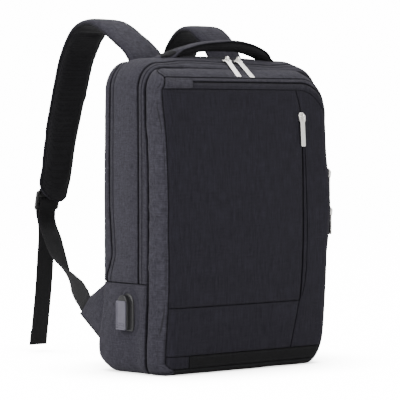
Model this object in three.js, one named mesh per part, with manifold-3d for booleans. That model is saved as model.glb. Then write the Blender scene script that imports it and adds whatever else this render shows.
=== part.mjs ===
// A laptop backpack, standing upright on its base with its shoulder straps raised behind it.
// Millimetres. +X is to the right as the front is looked at, +Y points to the wearer's back,
// +Z is up. The origin is the middle of the base.
import * as THREE from "three";
import { mergeVertices } from "three/addons/utils/BufferGeometryUtils.js";
import Module from "manifold-3d";

const wasm = await Module();
wasm.setup();

// Bag body
const bodyWidth = 310;
const bodyHeight = 426;
const mainDepth = 95; // back seam to the groove behind the front pouch
const pouchDepth = 33; // that groove to the front face
const wall = 4; // cloth, foam and lining together
const backPad = 7; // padded back panel
const backDome = 3; // how far the back panel's middle stands proud of its edge
const dividerThick = 3; // front panel of the main compartment, at the groove's bottom
const seamRoll = 2; // radius to which a plain seam's edges roll in
const grooveRoll = 7; // the same at the deep groove
const clearance = 0.3; // between pieces that touch
const seamGap = 2 * clearance; // between the rolled edges of two sewn pieces

// Where things lie on the body
const laptopZipFromBack = 15;
const mainZipFromBack = 74;
const lowerPanelHeight = 121; // the arched gussets and their zips end here
const sideSwell = 3; // the filled bag's sides stand out this much at mid height
const pouchSwell = 6; // the same for the pouch's sides
const grooveBow = 7; // the bag's front bows forward this much

// Zips
const coilWidth = 2.6;
const coilSink = 2.5; // top of the coil, below the cloth's face
const tapeWidth = 20;
const tapeThick = 1;

// Pouch outline and its rounded edges: how far they reach into the face and back from it
const pouchWidth = 289;
const pouchHeight = 411;
const pouchCorner = { left: { run: 38, rise: 44 }, right: { run: 42, rise: 58 } };
const pouchFoot = { left: { run: 10, rise: 16 }, right: { run: 30, rise: 42 } };
const topEdge = { inset: 30, back: 30, power: 1.35 };
const sideEdge = { inset: 14, back: 16, power: 2 };
const footEdge = { inset: 12, back: 14, power: 2 };
const frontDome = 4; // swell of the front face's middle

// Seams of the front face
const topSeamHeight = 382; // lower edge of the zip's cloth band
const bandTopInset = 13; // upper edge of that band, down from the pouch's top
const bandSideDepth = 9; // rear edge of the band, back along the pouch's right side
const bandCornerRun = 61;
const bandCornerRise = 60;
const bandSideInset = 2; // front edge of the band, in from the pouch's right side
const bandFoot = 60; // height at which the zip ends on the right side
const pocketZipX = 88;
const pocketZipTop = 350;
const pocketSeamHeight = 91; // seam across the lower part of the face
const baseSeamHeight = 26;
const hemHeight = 9;
const pocketFlapWidth = 14; // widest stretch of the upright zip's dark tape

// Shoulder straps
const strapWidth = 62;
const strapFromMiddle = 70;
const strapReach = 240; // from the back seam to the far end of the left strap
const strapStart = 380; // height of the end that is sewn to the back panel
const padThick = 8;
const coverThick = 1.6;
const coverWrap = 5; // how far the cover reaches round the padding's edges

// Webbing, ladder locks, the tabs that hold them, and the wings
const webWidth = 30;
const webThick = 1.5;
const tailHeight = 9; // a webbing end hangs this far above the floor
const tailLean = 18;
const legSag = 27;
const lock = { width: 42, height: 30, thick: 5, bar: 4, corner: 5 };
const tabLength = 30;
const wing = { thick: 3, top: 116, foot: 40, endTop: 99, endFoot: 78, reach: 59, shortReach: 34 };

// Carrying handle
const handleSpan = 190;
const handleFoot = 24; // length of each end that is sewn down
const handleRise = 13; // height of the finger gap
const handleWidth = 26;
const handlePadThick = 8;
const handleCoverThick = 3;
const handleFromBack = 51;

// Zip sliders and their pulls
const slider = { length: 11, width: 8, thick: 1.6, keel: 1.4 };
const bridge = { span: 7.2, width: 2, thick: 1.6, rise: 3.4 };
const pullLength = 34;
const mainPullLength = 48;
const pocketPullLength = 41;
const pull = { width: 7.4, thick: 1.6, end: 1.8, holeLength: 4.2, holeWidth: 3.4, corner: 1.2 };

// Charging port on the left side
const port = { width: 24, height: 46, proud: 12, flange: 2, middleHeight: 83, fromBack: 46 };
const portCap = { width: 16, height: 34, thick: 1.6 };

// Steps along the outlines
const sideSteps = 4;
const cornerSteps = 5;
const topSteps = 2;
const footSteps = 4;

const backY = (mainDepth + pouchDepth) / 2;
const grooveY = backY - mainDepth;
const frontY = grooveY - pouchDepth;
const halfWidth = bodyWidth / 2;
const pouchHalf = pouchWidth / 2;

const cloth = new THREE.MeshStandardMaterial({ color: 0x4a4a50, roughness: 0.95 });
const faceCloth = new THREE.MeshStandardMaterial({ color: 0x36363b, roughness: 0.95 });
const meshCloth = new THREE.MeshStandardMaterial({ color: 0x151516, roughness: 1 });
const tape = new THREE.MeshStandardMaterial({ color: 0x121214, roughness: 0.9 });
const web = new THREE.MeshStandardMaterial({ color: 0x1b1b1d, roughness: 0.85 });
const metal = new THREE.MeshStandardMaterial({ color: 0xcfcdc9, roughness: 0.3, metalness: 1 });
const plastic = new THREE.MeshStandardMaterial({ color: 0x1a1b1d, roughness: 0.5 });
const rubber = new THREE.MeshStandardMaterial({ color: 0x6b6f78, roughness: 0.6 });

const lerp = THREE.MathUtils.lerp;
const clamp = THREE.MathUtils.clamp;
const quarter = Math.PI / 2;
const v3 = (x, y, z) => new THREE.Vector3(x, y, z);

const bag = new THREE.Group();

function addMesh(name, geometry, material) {
  const mesh = new THREE.Mesh(geometry, material);
  mesh.name = name;
  bag.add(mesh);
  return mesh;
}

// A closed solid through a row of sections. Each section is a list of [outer, inner] point
// pairs, and a loop of sections joins its last to its first.
function sectionSolid(sections, loop = false) {
  const across = sections[0].length;
  const position = [];
  for (const section of sections) {
    for (const side of [0, 1]) {
      for (const pair of section) position.push(pair[side].x, pair[side].y, pair[side].z);
    }
  }
  const index = [];
  const quad = (a, b, c, d) => index.push(a, b, c, a, c, d);
  const at = (s, side, i) => ((s % sections.length) * 2 + side) * across + i;
  const last = across - 1;
  const spans = loop ? sections.length : sections.length - 1;
  for (let s = 0; s < spans; s++) {
    for (let i = 0; i < last; i++) {
      quad(at(s, 0, i), at(s, 0, i + 1), at(s + 1, 0, i + 1), at(s + 1, 0, i));
      quad(at(s, 1, i), at(s + 1, 1, i), at(s + 1, 1, i + 1), at(s, 1, i + 1));
    }
    quad(at(s, 0, 0), at(s + 1, 0, 0), at(s + 1, 1, 0), at(s, 1, 0));
    quad(at(s, 0, last), at(s, 1, last), at(s + 1, 1, last), at(s + 1, 0, last));
  }
  if (!loop) {
    const end = sections.length - 1;
    for (let i = 0; i < last; i++) {
      quad(at(0, 0, i), at(0, 1, i), at(0, 1, i + 1), at(0, 0, i + 1));
      quad(at(end, 0, i), at(end, 0, i + 1), at(end, 1, i + 1), at(end, 1, i));
    }
  }
  const geometry = new THREE.BufferGeometry();
  geometry.setAttribute("position", new THREE.Float32BufferAttribute(position, 3));
  geometry.setIndex(index);
  return facingOut(geometry);
}

// Turns the faces round if they point inwards.
function facingOut(geometry) {
  const p = geometry.getAttribute("position");
  const index = geometry.getIndex().array;
  const [a, b, c] = [v3(), v3(), v3()];
  let volume = 0;
  for (let i = 0; i < index.length; i += 3) {
    a.fromBufferAttribute(p, index[i]);
    b.fromBufferAttribute(p, index[i + 1]);
    c.fromBufferAttribute(p, index[i + 2]);
    volume += a.dot(b.cross(c));
  }
  if (volume < 0) {
    for (let i = 0; i < index.length; i += 3) {
      [index[i + 1], index[i + 2]] = [index[i + 2], index[i + 1]];
    }
  }
  return geometry;
}

function toSolid(geometry) {
  const plain = geometry.index ? geometry.toNonIndexed() : geometry.clone();
  plain.deleteAttribute("normal");
  plain.deleteAttribute("uv");
  const merged = mergeVertices(plain, 1e-3);
  const solid = new wasm.Mesh({
    numProp: 3,
    vertProperties: merged.attributes.position.array,
    triVerts: new Uint32Array(merged.index.array),
  });
  return new wasm.Manifold(solid);
}

function toGeometry(solid) {
  const mesh = solid.getMesh();
  const geometry = new THREE.BufferGeometry();
  geometry.setAttribute("position", new THREE.BufferAttribute(mesh.vertProperties, 3));
  geometry.setIndex(new THREE.BufferAttribute(mesh.triVerts, 1));
  return geometry;
}

// Cuts one piece to lie on another, which is moved by the clearance first.
function seatedOn(geometry, carrier, away) {
  const gap = away.clone().multiplyScalar(clearance);
  return toGeometry(toSolid(geometry).subtract(toSolid(carrier).translate(gap.toArray())));
}

// Puts a shape drawn in its own x, y, z at a place, with x and z turned to the given directions.
function placed(geometry, origin, x, z) {
  const zAxis = z.clone().normalize();
  const xAxis = x.clone().addScaledVector(zAxis, -x.dot(zAxis)).normalize();
  const yAxis = v3().crossVectors(zAxis, xAxis);
  const matrix = new THREE.Matrix4().makeBasis(xAxis, yAxis, zAxis).setPosition(origin);
  return geometry.applyMatrix4(matrix);
}

function polygon(points) {
  return new THREE.Shape(points.map(([x, y]) => new THREE.Vector2(x, y)));
}

function extruded(shape, depth) {
  const options = { depth, bevelEnabled: false, curveSegments: 3 };
  return new THREE.ExtrudeGeometry(shape, options).translate(0, 0, -depth / 2);
}

// A rectangle about the origin with cut corners.
function cutRectangle(width, height, corner) {
  const [x, y] = [width / 2, height / 2];
  const [u, v] = [x - corner, y - corner];
  return [
    [u, -y],
    [x, -v],
    [x, v],
    [u, y],
    [-u, y],
    [-x, v],
    [-x, -v],
    [-u, -y],
  ];
}

// Sections of the main body from the back seam (from 0) to the groove (from 1). width and run
// are shares of the body's width, top, rise and lift shares of its height. run and rise are the
// reach of a top corner's curve along the top and down the side; lift is the base's.
const bodySections = [
  { from: 0.0, width: 0.957, top: 0.985, run: 0.105, rise: 0.085, lift: 0.012 },
  { from: 0.06, width: 0.98, top: 0.996, run: 0.11, rise: 0.09, lift: 0.0 },
  { from: 0.14, width: 0.985, top: 0.998, run: 0.115, rise: 0.09, lift: 0.0 },
  { from: 0.3, width: 1.0, top: 1.004, run: 0.125, rise: 0.1, lift: 0.0 },
  { from: 0.6, width: 1.0, top: 1.005, run: 0.125, rise: 0.095, lift: 0.0 },
  { from: 0.76, width: 0.993, top: 0.998, run: 0.12, rise: 0.095, lift: 0.0 },
  { from: 0.88, width: 1.0, top: 0.988, run: 0.115, rise: 0.09, lift: 0.0 },
  { from: 1.0, width: 0.99, top: 0.97, run: 0.11, rise: 0.09, lift: 0.0 },
];
const footRun = 0.042; // of the body's width, at its bottom corners
const footRise = 0.04; // of its height
const topCrown = 0.01; // of its height: rise of the top's middle

function bodySection(fromBack) {
  const from = clamp(fromBack / mainDepth, 0, 1);
  const next = Math.max(1, bodySections.findIndex((row) => row.from >= from));
  const [a, b] = [bodySections[next - 1], bodySections[next]];
  const t = (from - a.from) / (b.from - a.from);
  const share = (key) => lerp(a[key], b[key], t);
  return {
    half: share("width") * halfWidth,
    top: (share("top") - topCrown) * bodyHeight,
    run: share("run") * bodyWidth,
    rise: share("rise") * bodyHeight,
    floor: share("lift") * bodyHeight,
  };
}

function swellAt(height) {
  return Math.sin(Math.PI * clamp(height / bodyHeight, 0, 1));
}

function sidePoint(s, z) {
  return { x: -s.half - sideSwell * swellAt(z), z, outX: -1, outZ: 0 };
}

// A quarter of an ellipse at a corner; up is 1 for a top corner and -1 for a bottom one.
function cornerPoint(s, angle, run, rise, middle, up) {
  const out = v3(-Math.cos(angle) / run, 0, (up * Math.sin(angle)) / rise).normalize();
  const z = middle + up * rise * Math.sin(angle);
  const swell = sideSwell * swellAt(z) * Math.cos(angle);
  return { x: -s.half + run - (run + swell) * Math.cos(angle), z, outX: out.x, outZ: out.z };
}

function topCorner(s, angle) {
  return cornerPoint(s, angle, s.run, s.rise, s.top - s.rise, 1);
}

function footCorner(s, angle) {
  const rise = footRise * bodyHeight - s.floor;
  return cornerPoint(s, angle, footRun * bodyWidth, rise, footRise * bodyHeight, -1);
}

function topPoint(s, share) {
  const x = lerp(-s.half + s.run, 0, share);
  const z = s.top + topCrown * bodyHeight * Math.sin(quarter * share);
  return { x, z, outX: 0, outZ: 1 };
}

function mirrored(station) {
  return (s) => {
    const p = station(s);
    return { ...p, x: -p.x, outX: -p.outX };
  };
}

// Stations along the arch, from the left side over the top to the right side. Each gives a
// point of any section's outline and the way out from it.
function archStations(foot = lowerPanelHeight + seamGap) {
  const half = [];
  for (let i = 0; i < sideSteps; i++) {
    half.push((s) => sidePoint(s, lerp(foot, s.top - s.rise, i / sideSteps)));
  }
  for (let i = 0; i < cornerSteps; i++) {
    half.push((s) => topCorner(s, (quarter * i) / cornerSteps));
  }
  for (let i = 0; i < topSteps; i++) half.push((s) => topPoint(s, i / topSteps));
  return [...half, (s) => topPoint(s, 1), ...[...half].reverse().map(mirrored)];
}

// The lower panel's stations, from the left side round the base to the right side.
function trayStations() {
  const half = [];
  for (let i = 0; i < 3; i++) {
    half.push((s) => sidePoint(s, lerp(lowerPanelHeight, footRise * bodyHeight, i / 3)));
  }
  for (let i = 0; i <= footSteps; i++) {
    half.push((s) => footCorner(s, (quarter * i) / footSteps));
  }
  return [...half, ...[...half].reverse().map(mirrored)];
}

// A point of the body at a station, this far from the back seam and below the cloth's face.
function bodyPoint(station, fromBack, inset) {
  const p = station(bodySection(fromBack));
  const bow = grooveBow * clamp(fromBack / mainDepth, 0, 1) * swellAt(p.z);
  return v3(p.x - p.outX * inset, backY - fromBack - bow, p.z - p.outZ * inset);
}

// Profile of a cloth band between two seams, as rows of [from the back seam, inset]: each edge
// rolls in to its seam, and the middle follows the body.
function bandProfile(from, to, rollFrom, rollTo, middles) {
  const roll = [
    { along: 0, inset: 1 },
    { along: 0.2, inset: 0.4 },
    { along: 1, inset: 0 },
  ];
  const start = roll.map((r) => [from + r.along * rollFrom, r.inset * rollFrom]);
  const end = roll.map((r) => [to - r.along * rollTo, r.inset * rollTo]).reverse();
  return [...start, ...middles.map((share) => [share * mainDepth, 0]), ...end];
}

function bandSolid(stations, profile) {
  const section = (station) =>
    profile.map(([from, inset]) => [
      bodyPoint(station, from, inset),
      bodyPoint(station, from, inset + wall),
    ]);
  return sectionSolid(stations.map(section));
}

// A zip: a flat tape under the cloth, with its coil standing in the slit between two bands.
function zipSolid(stations, fromBack) {
  const under = seamRoll + wall + clearance;
  const profile = [
    [-tapeWidth / 2, under],
    [-coilWidth / 2, under],
    [-coilWidth / 2, coilSink],
    [coilWidth / 2, coilSink],
    [coilWidth / 2, under],
    [tapeWidth / 2, under],
  ];
  const section = (station) =>
    profile.map(([offset, inset]) => [
      bodyPoint(station, fromBack + offset, inset),
      bodyPoint(station, fromBack + offset, under + tapeThick),
    ]);
  return sectionSolid(stations.map(section));
}

function buildBody() {
  const arch = archStations();
  const slit = coilWidth / 2 + clearance;
  const groove = mainDepth - dividerThick / 2 - seamGap;
  const laptop = bandProfile(seamGap, laptopZipFromBack - slit, seamRoll, seamRoll, []);
  const mainEnds = [laptopZipFromBack + slit, mainZipFromBack - slit];
  const main = bandProfile(...mainEnds, seamRoll, seamRoll, [0.3, 0.6]);
  const front = bandProfile(mainZipFromBack + slit, groove, seamRoll, grooveRoll, []);
  addMesh("laptop_gusset", bandSolid(arch, laptop), cloth);
  addMesh("main_gusset", bandSolid(arch, main), cloth);
  addMesh("front_gusset", bandSolid(arch, front), cloth);
  addMesh("laptop_zip", zipSolid(arch, laptopZipFromBack), tape);
  addMesh("main_zip", zipSolid(arch, mainZipFromBack), tape);
  const tray = bandProfile(seamGap, groove, seamRoll, grooveRoll, [0.06, 0.14, 0.3, 0.6, 0.8]);
  addMesh("lower_panel", bandSolid(trayStations(), tray), cloth);
}

// Half the width of the body's outline at a height, for a section.
function halfWidthAt(s, z) {
  const low = footRise * bodyHeight;
  const high = s.top - s.rise;
  const swell = sideSwell * swellAt(z);
  if (z > high) {
    const up = clamp((z - high) / s.rise, 0, 1);
    return s.half - s.run + (s.run + swell) * Math.sqrt(1 - up * up);
  }
  if (z < low) {
    const down = clamp((low - z) / (low - s.floor), 0, 1);
    const run = footRun * bodyWidth;
    return s.half - run + (run + swell) * Math.sqrt(1 - down * down);
  }
  return s.half + swell;
}

// Heights for the rows of a plate with the body's outline, closer where its corners curve.
function plateHeights(s, margin) {
  const [low, high] = [footRise * bodyHeight, s.top - s.rise];
  const heights = [];
  for (let i = 0; i < 4; i++) {
    heights.push(low - (low - s.floor - margin) * Math.cos((quarter * i) / 4));
  }
  for (let i = 0; i < 5; i++) heights.push(lerp(low, high, i / 5));
  for (let i = 0; i <= 4; i++) {
    heights.push(high + (s.rise - margin) * Math.sin((quarter * i) / 4));
  }
  return heights;
}

// How far the padded back panel's face stands behind the back seam.
function backFace(x, z) {
  const s = bodySection(0);
  const middle = bodyHeight / 2;
  const across = Math.abs(x) / halfWidthAt(s, z);
  const up = Math.abs(z - middle) / middle;
  const edge = clamp(Math.max(across, up), 0, 1);
  const round = clamp((1 - edge) / 0.2, 0, 1);
  const puff = 0.45 + 0.55 * Math.sqrt(1 - (1 - round) ** 2);
  return backPad * puff + backDome * (1 - edge ** 2);
}

function buildBackPanel() {
  const s = bodySection(0);
  const shares = [-1, -0.93, -0.75, -0.3, 0.3, 0.75, 0.93, 1];
  const sections = plateHeights(s, seamGap).map((z) =>
    shares.map((share) => {
      const x = share * (halfWidthAt(s, z) - seamGap);
      return [v3(x, backY + backFace(x, z), z), v3(x, backY, z)];
    }),
  );
  return addMesh("back_panel", sectionSolid(sections), meshCloth);
}

// The main compartment's own front panel, which shows at the bottom of the groove.
function buildDivider() {
  const s = bodySection(mainDepth);
  const inset = grooveRoll + wall / 2;
  const sections = plateHeights(s, inset).map((z) => {
    const x = halfWidthAt(s, z) - inset;
    const y = grooveY - grooveBow * swellAt(z);
    const half = dividerThick / 2;
    return [-x, x].map((side) => [v3(side, y - half, z), v3(side, y + half, z)]);
  });
  addMesh("inner_front_panel", sectionSolid(sections), tape);
}

// Rounded edge of the pouch at an angle of its outline: 0 is the side, 1 the top or the foot.
function edgeAt(turn, isTop) {
  const other = isTop ? topEdge : footEdge;
  const share = turn * turn;
  return {
    back: lerp(sideEdge.back, other.back, share),
    power: lerp(sideEdge.power, other.power, share),
  };
}

function cornerOf(x, isTop) {
  const corner = isTop ? pouchCorner : pouchFoot;
  return x < 0 ? corner.left : corner.right;
}

// Where a point of the face lies between the flat part (share 0) and the pouch's rim (share 1),
// with the rounding that it is on.
function roundingAt(x, z) {
  const swollen = pouchSwell * swellAt(z);
  const ax = (Math.abs(x) * pouchHalf) / (pouchHalf + swollen);
  for (const isTop of [true, false]) {
    const corner = cornerOf(x, isTop);
    const edge = isTop ? topEdge : footEdge;
    const dx = ax - (pouchHalf - corner.run);
    const dz = isTop ? z - (pouchHeight - corner.rise) : corner.rise - z;
    if (dx <= 0 || dz <= 0) continue;
    const ring = (share) => {
      const run = corner.run - sideEdge.inset * (1 - share);
      const rise = corner.rise - edge.inset * (1 - share);
      return { u: dx / run, v: dz / rise };
    };
    let [low, high] = [0, 1];
    for (let i = 0; i < 24; i++) {
      const middle = (low + high) / 2;
      const { u, v } = ring(middle);
      if (u * u + v * v > 1) low = middle;
      else high = middle;
    }
    const { u, v } = ring(low);
    return { share: low, ...edgeAt(v / Math.hypot(u, v), isTop) };
  }
  const side = 1 - (pouchHalf - ax) / sideEdge.inset;
  const top = 1 - (pouchHeight - z) / topEdge.inset;
  const foot = 1 - z / footEdge.inset;
  const share = clamp(Math.max(side, top, foot), 0, 1);
  if (share === 0 || side === Math.max(side, top, foot)) return { share, ...sideEdge };
  return { share, ...(top > foot ? topEdge : footEdge) };
}

function faceY(x, z) {
  const { share, back, power } = roundingAt(x, z);
  const across = clamp(Math.abs(x) / pouchHalf, 0, 1);
  const dome = (grooveBow + frontDome * (1 - across ** 2)) * swellAt(z);
  const drop = 1 - (1 - share ** power) ** (1 / power);
  return frontY - dome * (1 - share) - grooveBow * swellAt(z) * share + back * drop;
}

// A point of the face's surface with the way out from it.
function facePoint(x, z) {
  const step = 0.5;
  const slopeX = (faceY(x + step, z) - faceY(x - step, z)) / (2 * step);
  const slopeZ = (faceY(x, z + step) - faceY(x, z - step)) / (2 * step);
  return { p: v3(x, faceY(x, z), z), out: v3(slopeX, -1, slopeZ).normalize() };
}

// How far the left seam of the face runs in from the pouch's rim; at is a share of the height.
const leftSeam = [
  { at: 0.0, inset: 1.5 },
  { at: 0.1, inset: 2 },
  { at: 0.3, inset: 6 },
  { at: 0.55, inset: 8 },
  { at: 0.75, inset: 5.5 },
  { at: 0.88, inset: 2.5 },
  { at: 1.0, inset: 2 },
];

function leftInset(z) {
  const at = clamp(z / pouchHeight, 0, 1);
  const next = Math.max(1, leftSeam.findIndex((row) => row.at >= at));
  const [a, b] = [leftSeam[next - 1], leftSeam[next]];
  return lerp(a.inset, b.inset, (at - a.at) / (b.at - a.at));
}

function rimSide(sign, z) {
  return { x: sign * (pouchHalf + pouchSwell * swellAt(z)), z, out: v3(sign, 0, 0) };
}

function rimCorner(sign, up, angle) {
  const { run, rise } = cornerOf(sign, up > 0);
  const z = (up > 0 ? pouchHeight - rise : rise) + up * rise * Math.sin(angle);
  const swell = pouchSwell * swellAt(z) * Math.cos(angle);
  const x = sign * (pouchHalf - run + (run + swell) * Math.cos(angle));
  const out = v3((sign * Math.cos(angle)) / run, 0, (up * Math.sin(angle)) / rise);
  return { x, z, out: out.normalize() };
}

// Stations round the pouch's rim, clockwise from the foot of its left side. girth is where the
// gusset ends: that far in on the face, or, below zero, that far back on the wall.
function rimStations() {
  const shares = (count) => Array.from({ length: count }, (_, i) => i / count);
  const low = pouchFoot.left.rise;
  const high = { left: pouchHeight - pouchCorner.left.rise, right: pouchHeight - pouchCorner.right.rise };
  const flat = { left: pouchHalf - pouchCorner.left.run, right: pouchHalf - pouchCorner.right.run };
  const flatFoot = { left: pouchHalf - pouchFoot.left.run, right: pouchHalf - pouchFoot.right.run };
  const sine = (share) => Math.sin(quarter * share);
  const left = shares(7).map((t) => {
    const z = lerp(low, high.left, t);
    return { ...rimSide(-1, z), girth: leftInset(z), part: "left" };
  });
  const topLeft = shares(cornerSteps).map((t) => {
    const girth = lerp(leftInset(high.left), bandTopInset, sine(t));
    return { ...rimCorner(-1, 1, quarter * t), girth, part: "topLeft" };
  });
  const top = shares(4).map((t) => {
    const x = lerp(-flat.left, flat.right, t);
    return { x, z: pouchHeight, out: v3(0, 0, 1), girth: bandTopInset, part: "top" };
  });
  const topRight = shares(cornerSteps).map((t) => {
    const girth = lerp(-bandSideDepth, bandTopInset, sine(1 - t));
    return { ...rimCorner(1, 1, quarter * (1 - t)), girth, part: "topRight", share: 1 - t };
  });
  const right = [...shares(4), 1].map((t) => {
    const z = lerp(high.right, bandFoot, t);
    return { ...rimSide(1, z), girth: -bandSideDepth, part: "right", share: t };
  });
  const underBand = { ...rimSide(1, bandFoot - seamRoll), girth: bandSideInset, part: "low" };
  const footRight = shares(footSteps).map((t) => {
    const girth = lerp(bandSideInset, hemHeight, sine(t));
    return { ...rimCorner(1, -1, quarter * t), girth, part: "low" };
  });
  const foot = shares(3).map((t) => {
    const x = lerp(flatFoot.right, -flatFoot.left, t);
    return { x, z: 0, out: v3(0, 0, -1), girth: hemHeight, part: "foot" };
  });
  const footLeft = shares(footSteps).map((t) => {
    const girth = lerp(leftInset(low), hemHeight, sine(1 - t));
    return { ...rimCorner(-1, -1, quarter * (1 - t)), girth, part: "left" };
  });
  const ring = [left, topLeft, top, topRight, right, [underBand], footRight, foot, footLeft];
  return ring.flat();
}

function rimY(station) {
  const inside = 1e-3;
  return faceY(station.x - station.out.x * inside, station.z - station.out.z * inside);
}

// A point this far from the rim: in on the face, or, below zero, back on the wall.
function girthPoint(station, girth) {
  if (girth <= 0) {
    return { p: v3(station.x, rimY(station) - girth, station.z), out: station.out };
  }
  return facePoint(station.x - station.out.x * girth, station.z - station.out.z * girth);
}

function clothPair({ p, out }, inset, thick) {
  return [p.clone().addScaledVector(out, -inset), p.clone().addScaledVector(out, -inset - thick)];
}

function grooveGirth(station) {
  const y = grooveY - grooveBow * swellAt(station.z) - dividerThick / 2 - seamGap;
  return rimY(station) - y;
}

function buildPouchGusset(stations) {
  const sections = stations.map((station) => {
    const start = Math.min(0, grooveGirth(station));
    const reach = station.girth - start;
    const edge = reach - 0.7 * seamRoll;
    const roll = Math.min(grooveRoll, edge / 2);
    const rows = [
      { along: 0, inset: grooveRoll },
      { along: 0.2 * roll, inset: 0.4 * grooveRoll },
      { along: roll, inset: 0 },
      { along: lerp(roll, edge, 0.4), inset: 0 },
      { along: lerp(roll, edge, 0.75), inset: 0 },
      { along: edge, inset: 0 },
      { along: reach, inset: 0.7 * seamRoll },
    ];
    return rows.map((row) => clothPair(girthPoint(station, start + row.along), row.inset, wall));
  });
  addMesh("pouch_gusset", sectionSolid(sections, true), cloth);
}

// Front edge of the zip's cloth band, as points of the face.
function bandFront(station) {
  if (station.part === "right") {
    const z = lerp(topSeamHeight - bandCornerRise, bandFoot, station.share);
    return { x: rimSide(1, z).x - bandSideInset, z };
  }
  if (station.part === "topRight") {
    const angle = quarter * station.share;
    const centre = pouchHalf - bandSideInset - bandCornerRun;
    const swell = pouchSwell * swellAt(topSeamHeight - bandCornerRise) * Math.cos(angle);
    const x = centre + bandCornerRun * Math.cos(angle) + swell;
    return { x, z: topSeamHeight - bandCornerRise * (1 - Math.sin(angle)) };
  }
  const edge = girthPoint(station, station.girth + seamGap).p;
  const first = pouchCorner.left.run - pouchHalf;
  const last = pouchHalf - pouchCorner.right.run;
  const end = pouchHalf - bandSideInset - bandCornerRun;
  const share = (station.x - first) / (last - first);
  const x = station.part === "top" ? lerp(first, end, share) : edge.x;
  return { x, z: topSeamHeight };
}

function bandStations(stations) {
  return stations.filter((station) => {
    if (station.part === "topLeft") {
      return girthPoint(station, station.girth + seamGap).p.z > topSeamHeight + seamRoll;
    }
    return ["top", "topRight", "right"].includes(station.part);
  });
}

function buildPouchBand(stations) {
  const sections = stations.map((station) => {
    const front = bandFront(station);
    const rear = station.girth + seamGap;
    const points = [];
    if (rear < 0) {
      points.push(girthPoint(station, rear), girthPoint(station, rear * 0.8));
      points.push(girthPoint(station, rear * 0.3));
      for (const share of [0.45, 0.9, 1]) {
        const x = lerp(station.x, front.x, share);
        points.push(facePoint(x, lerp(station.z, front.z, share)));
      }
    } else {
      const start = girthPoint(station, rear).p;
      for (const share of [0, 0.1, 0.35, 0.65, 0.9, 1]) {
        points.push(facePoint(lerp(start.x, front.x, share), lerp(start.z, front.z, share)));
      }
    }
    const last = points.length - 1;
    return points.map((point, i) => {
      const inset = i === 0 || i === last ? 0.7 * seamRoll : 0;
      return clothPair(point, inset, wall - 1);
    });
  });
  addMesh("pouch_band", sectionSolid(sections), cloth);
}

function buildPouchZip(stations) {
  const under = 0.7 * seamRoll + wall + seamGap;
  const sections = stations.map((station) =>
    [-tapeWidth / 10, tapeWidth / 4].map((offset) =>
      clothPair(girthPoint(station, station.girth + offset), under, tapeThick),
    ),
  );
  addMesh("pouch_zip", sectionSolid(sections), tape);
}

// Where a seam, given as points with rising z, lies across the face at a height.
function seamX(points, z) {
  const next = clamp(points.findIndex((point) => point.z >= z), 1, points.length - 1);
  const [a, b] = [points[next - 1], points[next]];
  return lerp(a.x, b.x, clamp((z - a.z) / (b.z - a.z), 0, 1));
}

// Left edge and width of the slit of the upright pocket zip; at is a share of its height, from
// the seam across the face up to the seam at the top.
const pocketSlit = [
  { at: 0.0, left: -3, width: 0 },
  { at: 0.06, left: -1.5, width: 0.35 },
  { at: 0.17, left: 0, width: 0.75 },
  { at: 0.3, left: 0.5, width: 1 },
  { at: 0.48, left: -0.5, width: 1 },
  { at: 0.72, left: 0.5, width: 0.6 },
  { at: 0.86, left: -2, width: 0.25 },
  { at: 0.9, left: -0.5, width: 0 },
  { at: 1.0, left: -8, width: 0 },
];

function slitAt(z) {
  const at = clamp((z - pocketSeamHeight) / (topSeamHeight - pocketSeamHeight), 0, 1);
  const next = Math.max(1, pocketSlit.findIndex((row) => row.at >= at));
  const [a, b] = [pocketSlit[next - 1], pocketSlit[next]];
  const t = (at - a.at) / (b.at - a.at);
  const left = pocketZipX + lerp(a.left, b.left, t);
  return { left, right: left + pocketFlapWidth * lerp(a.width, b.width, t) };
}

// The seam that goes on below the pocket zip, down to the base strip.
function lowSeamX(z) {
  const share = (pocketSeamHeight - z) / (pocketSeamHeight - baseSeamHeight);
  return slitAt(pocketSeamHeight).left - 13 * clamp(share, 0, 1);
}

// A sewn panel of the face: rows between two heights, columns between two seams.
function facePanel(low, high, leftAt, rightAt, rowShares, columnShares) {
  const thick = wall - 1;
  const rows = rowShares.map((share) => lerp(low + clearance, high - clearance, share));
  const sections = rows.map((z, r) => {
    const left = leftAt(z) + seamGap;
    const right = Math.max(rightAt(z) - seamGap, left + seamRoll);
    return columnShares.map((share, c) => {
      const rim = r === 0 || c === 0 || r === rows.length - 1 || c === columnShares.length - 1;
      return clothPair(facePoint(lerp(left, right, share), z), rim ? 0.5 * seamRoll : 0, thick);
    });
  });
  return sectionSolid(sections);
}

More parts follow.
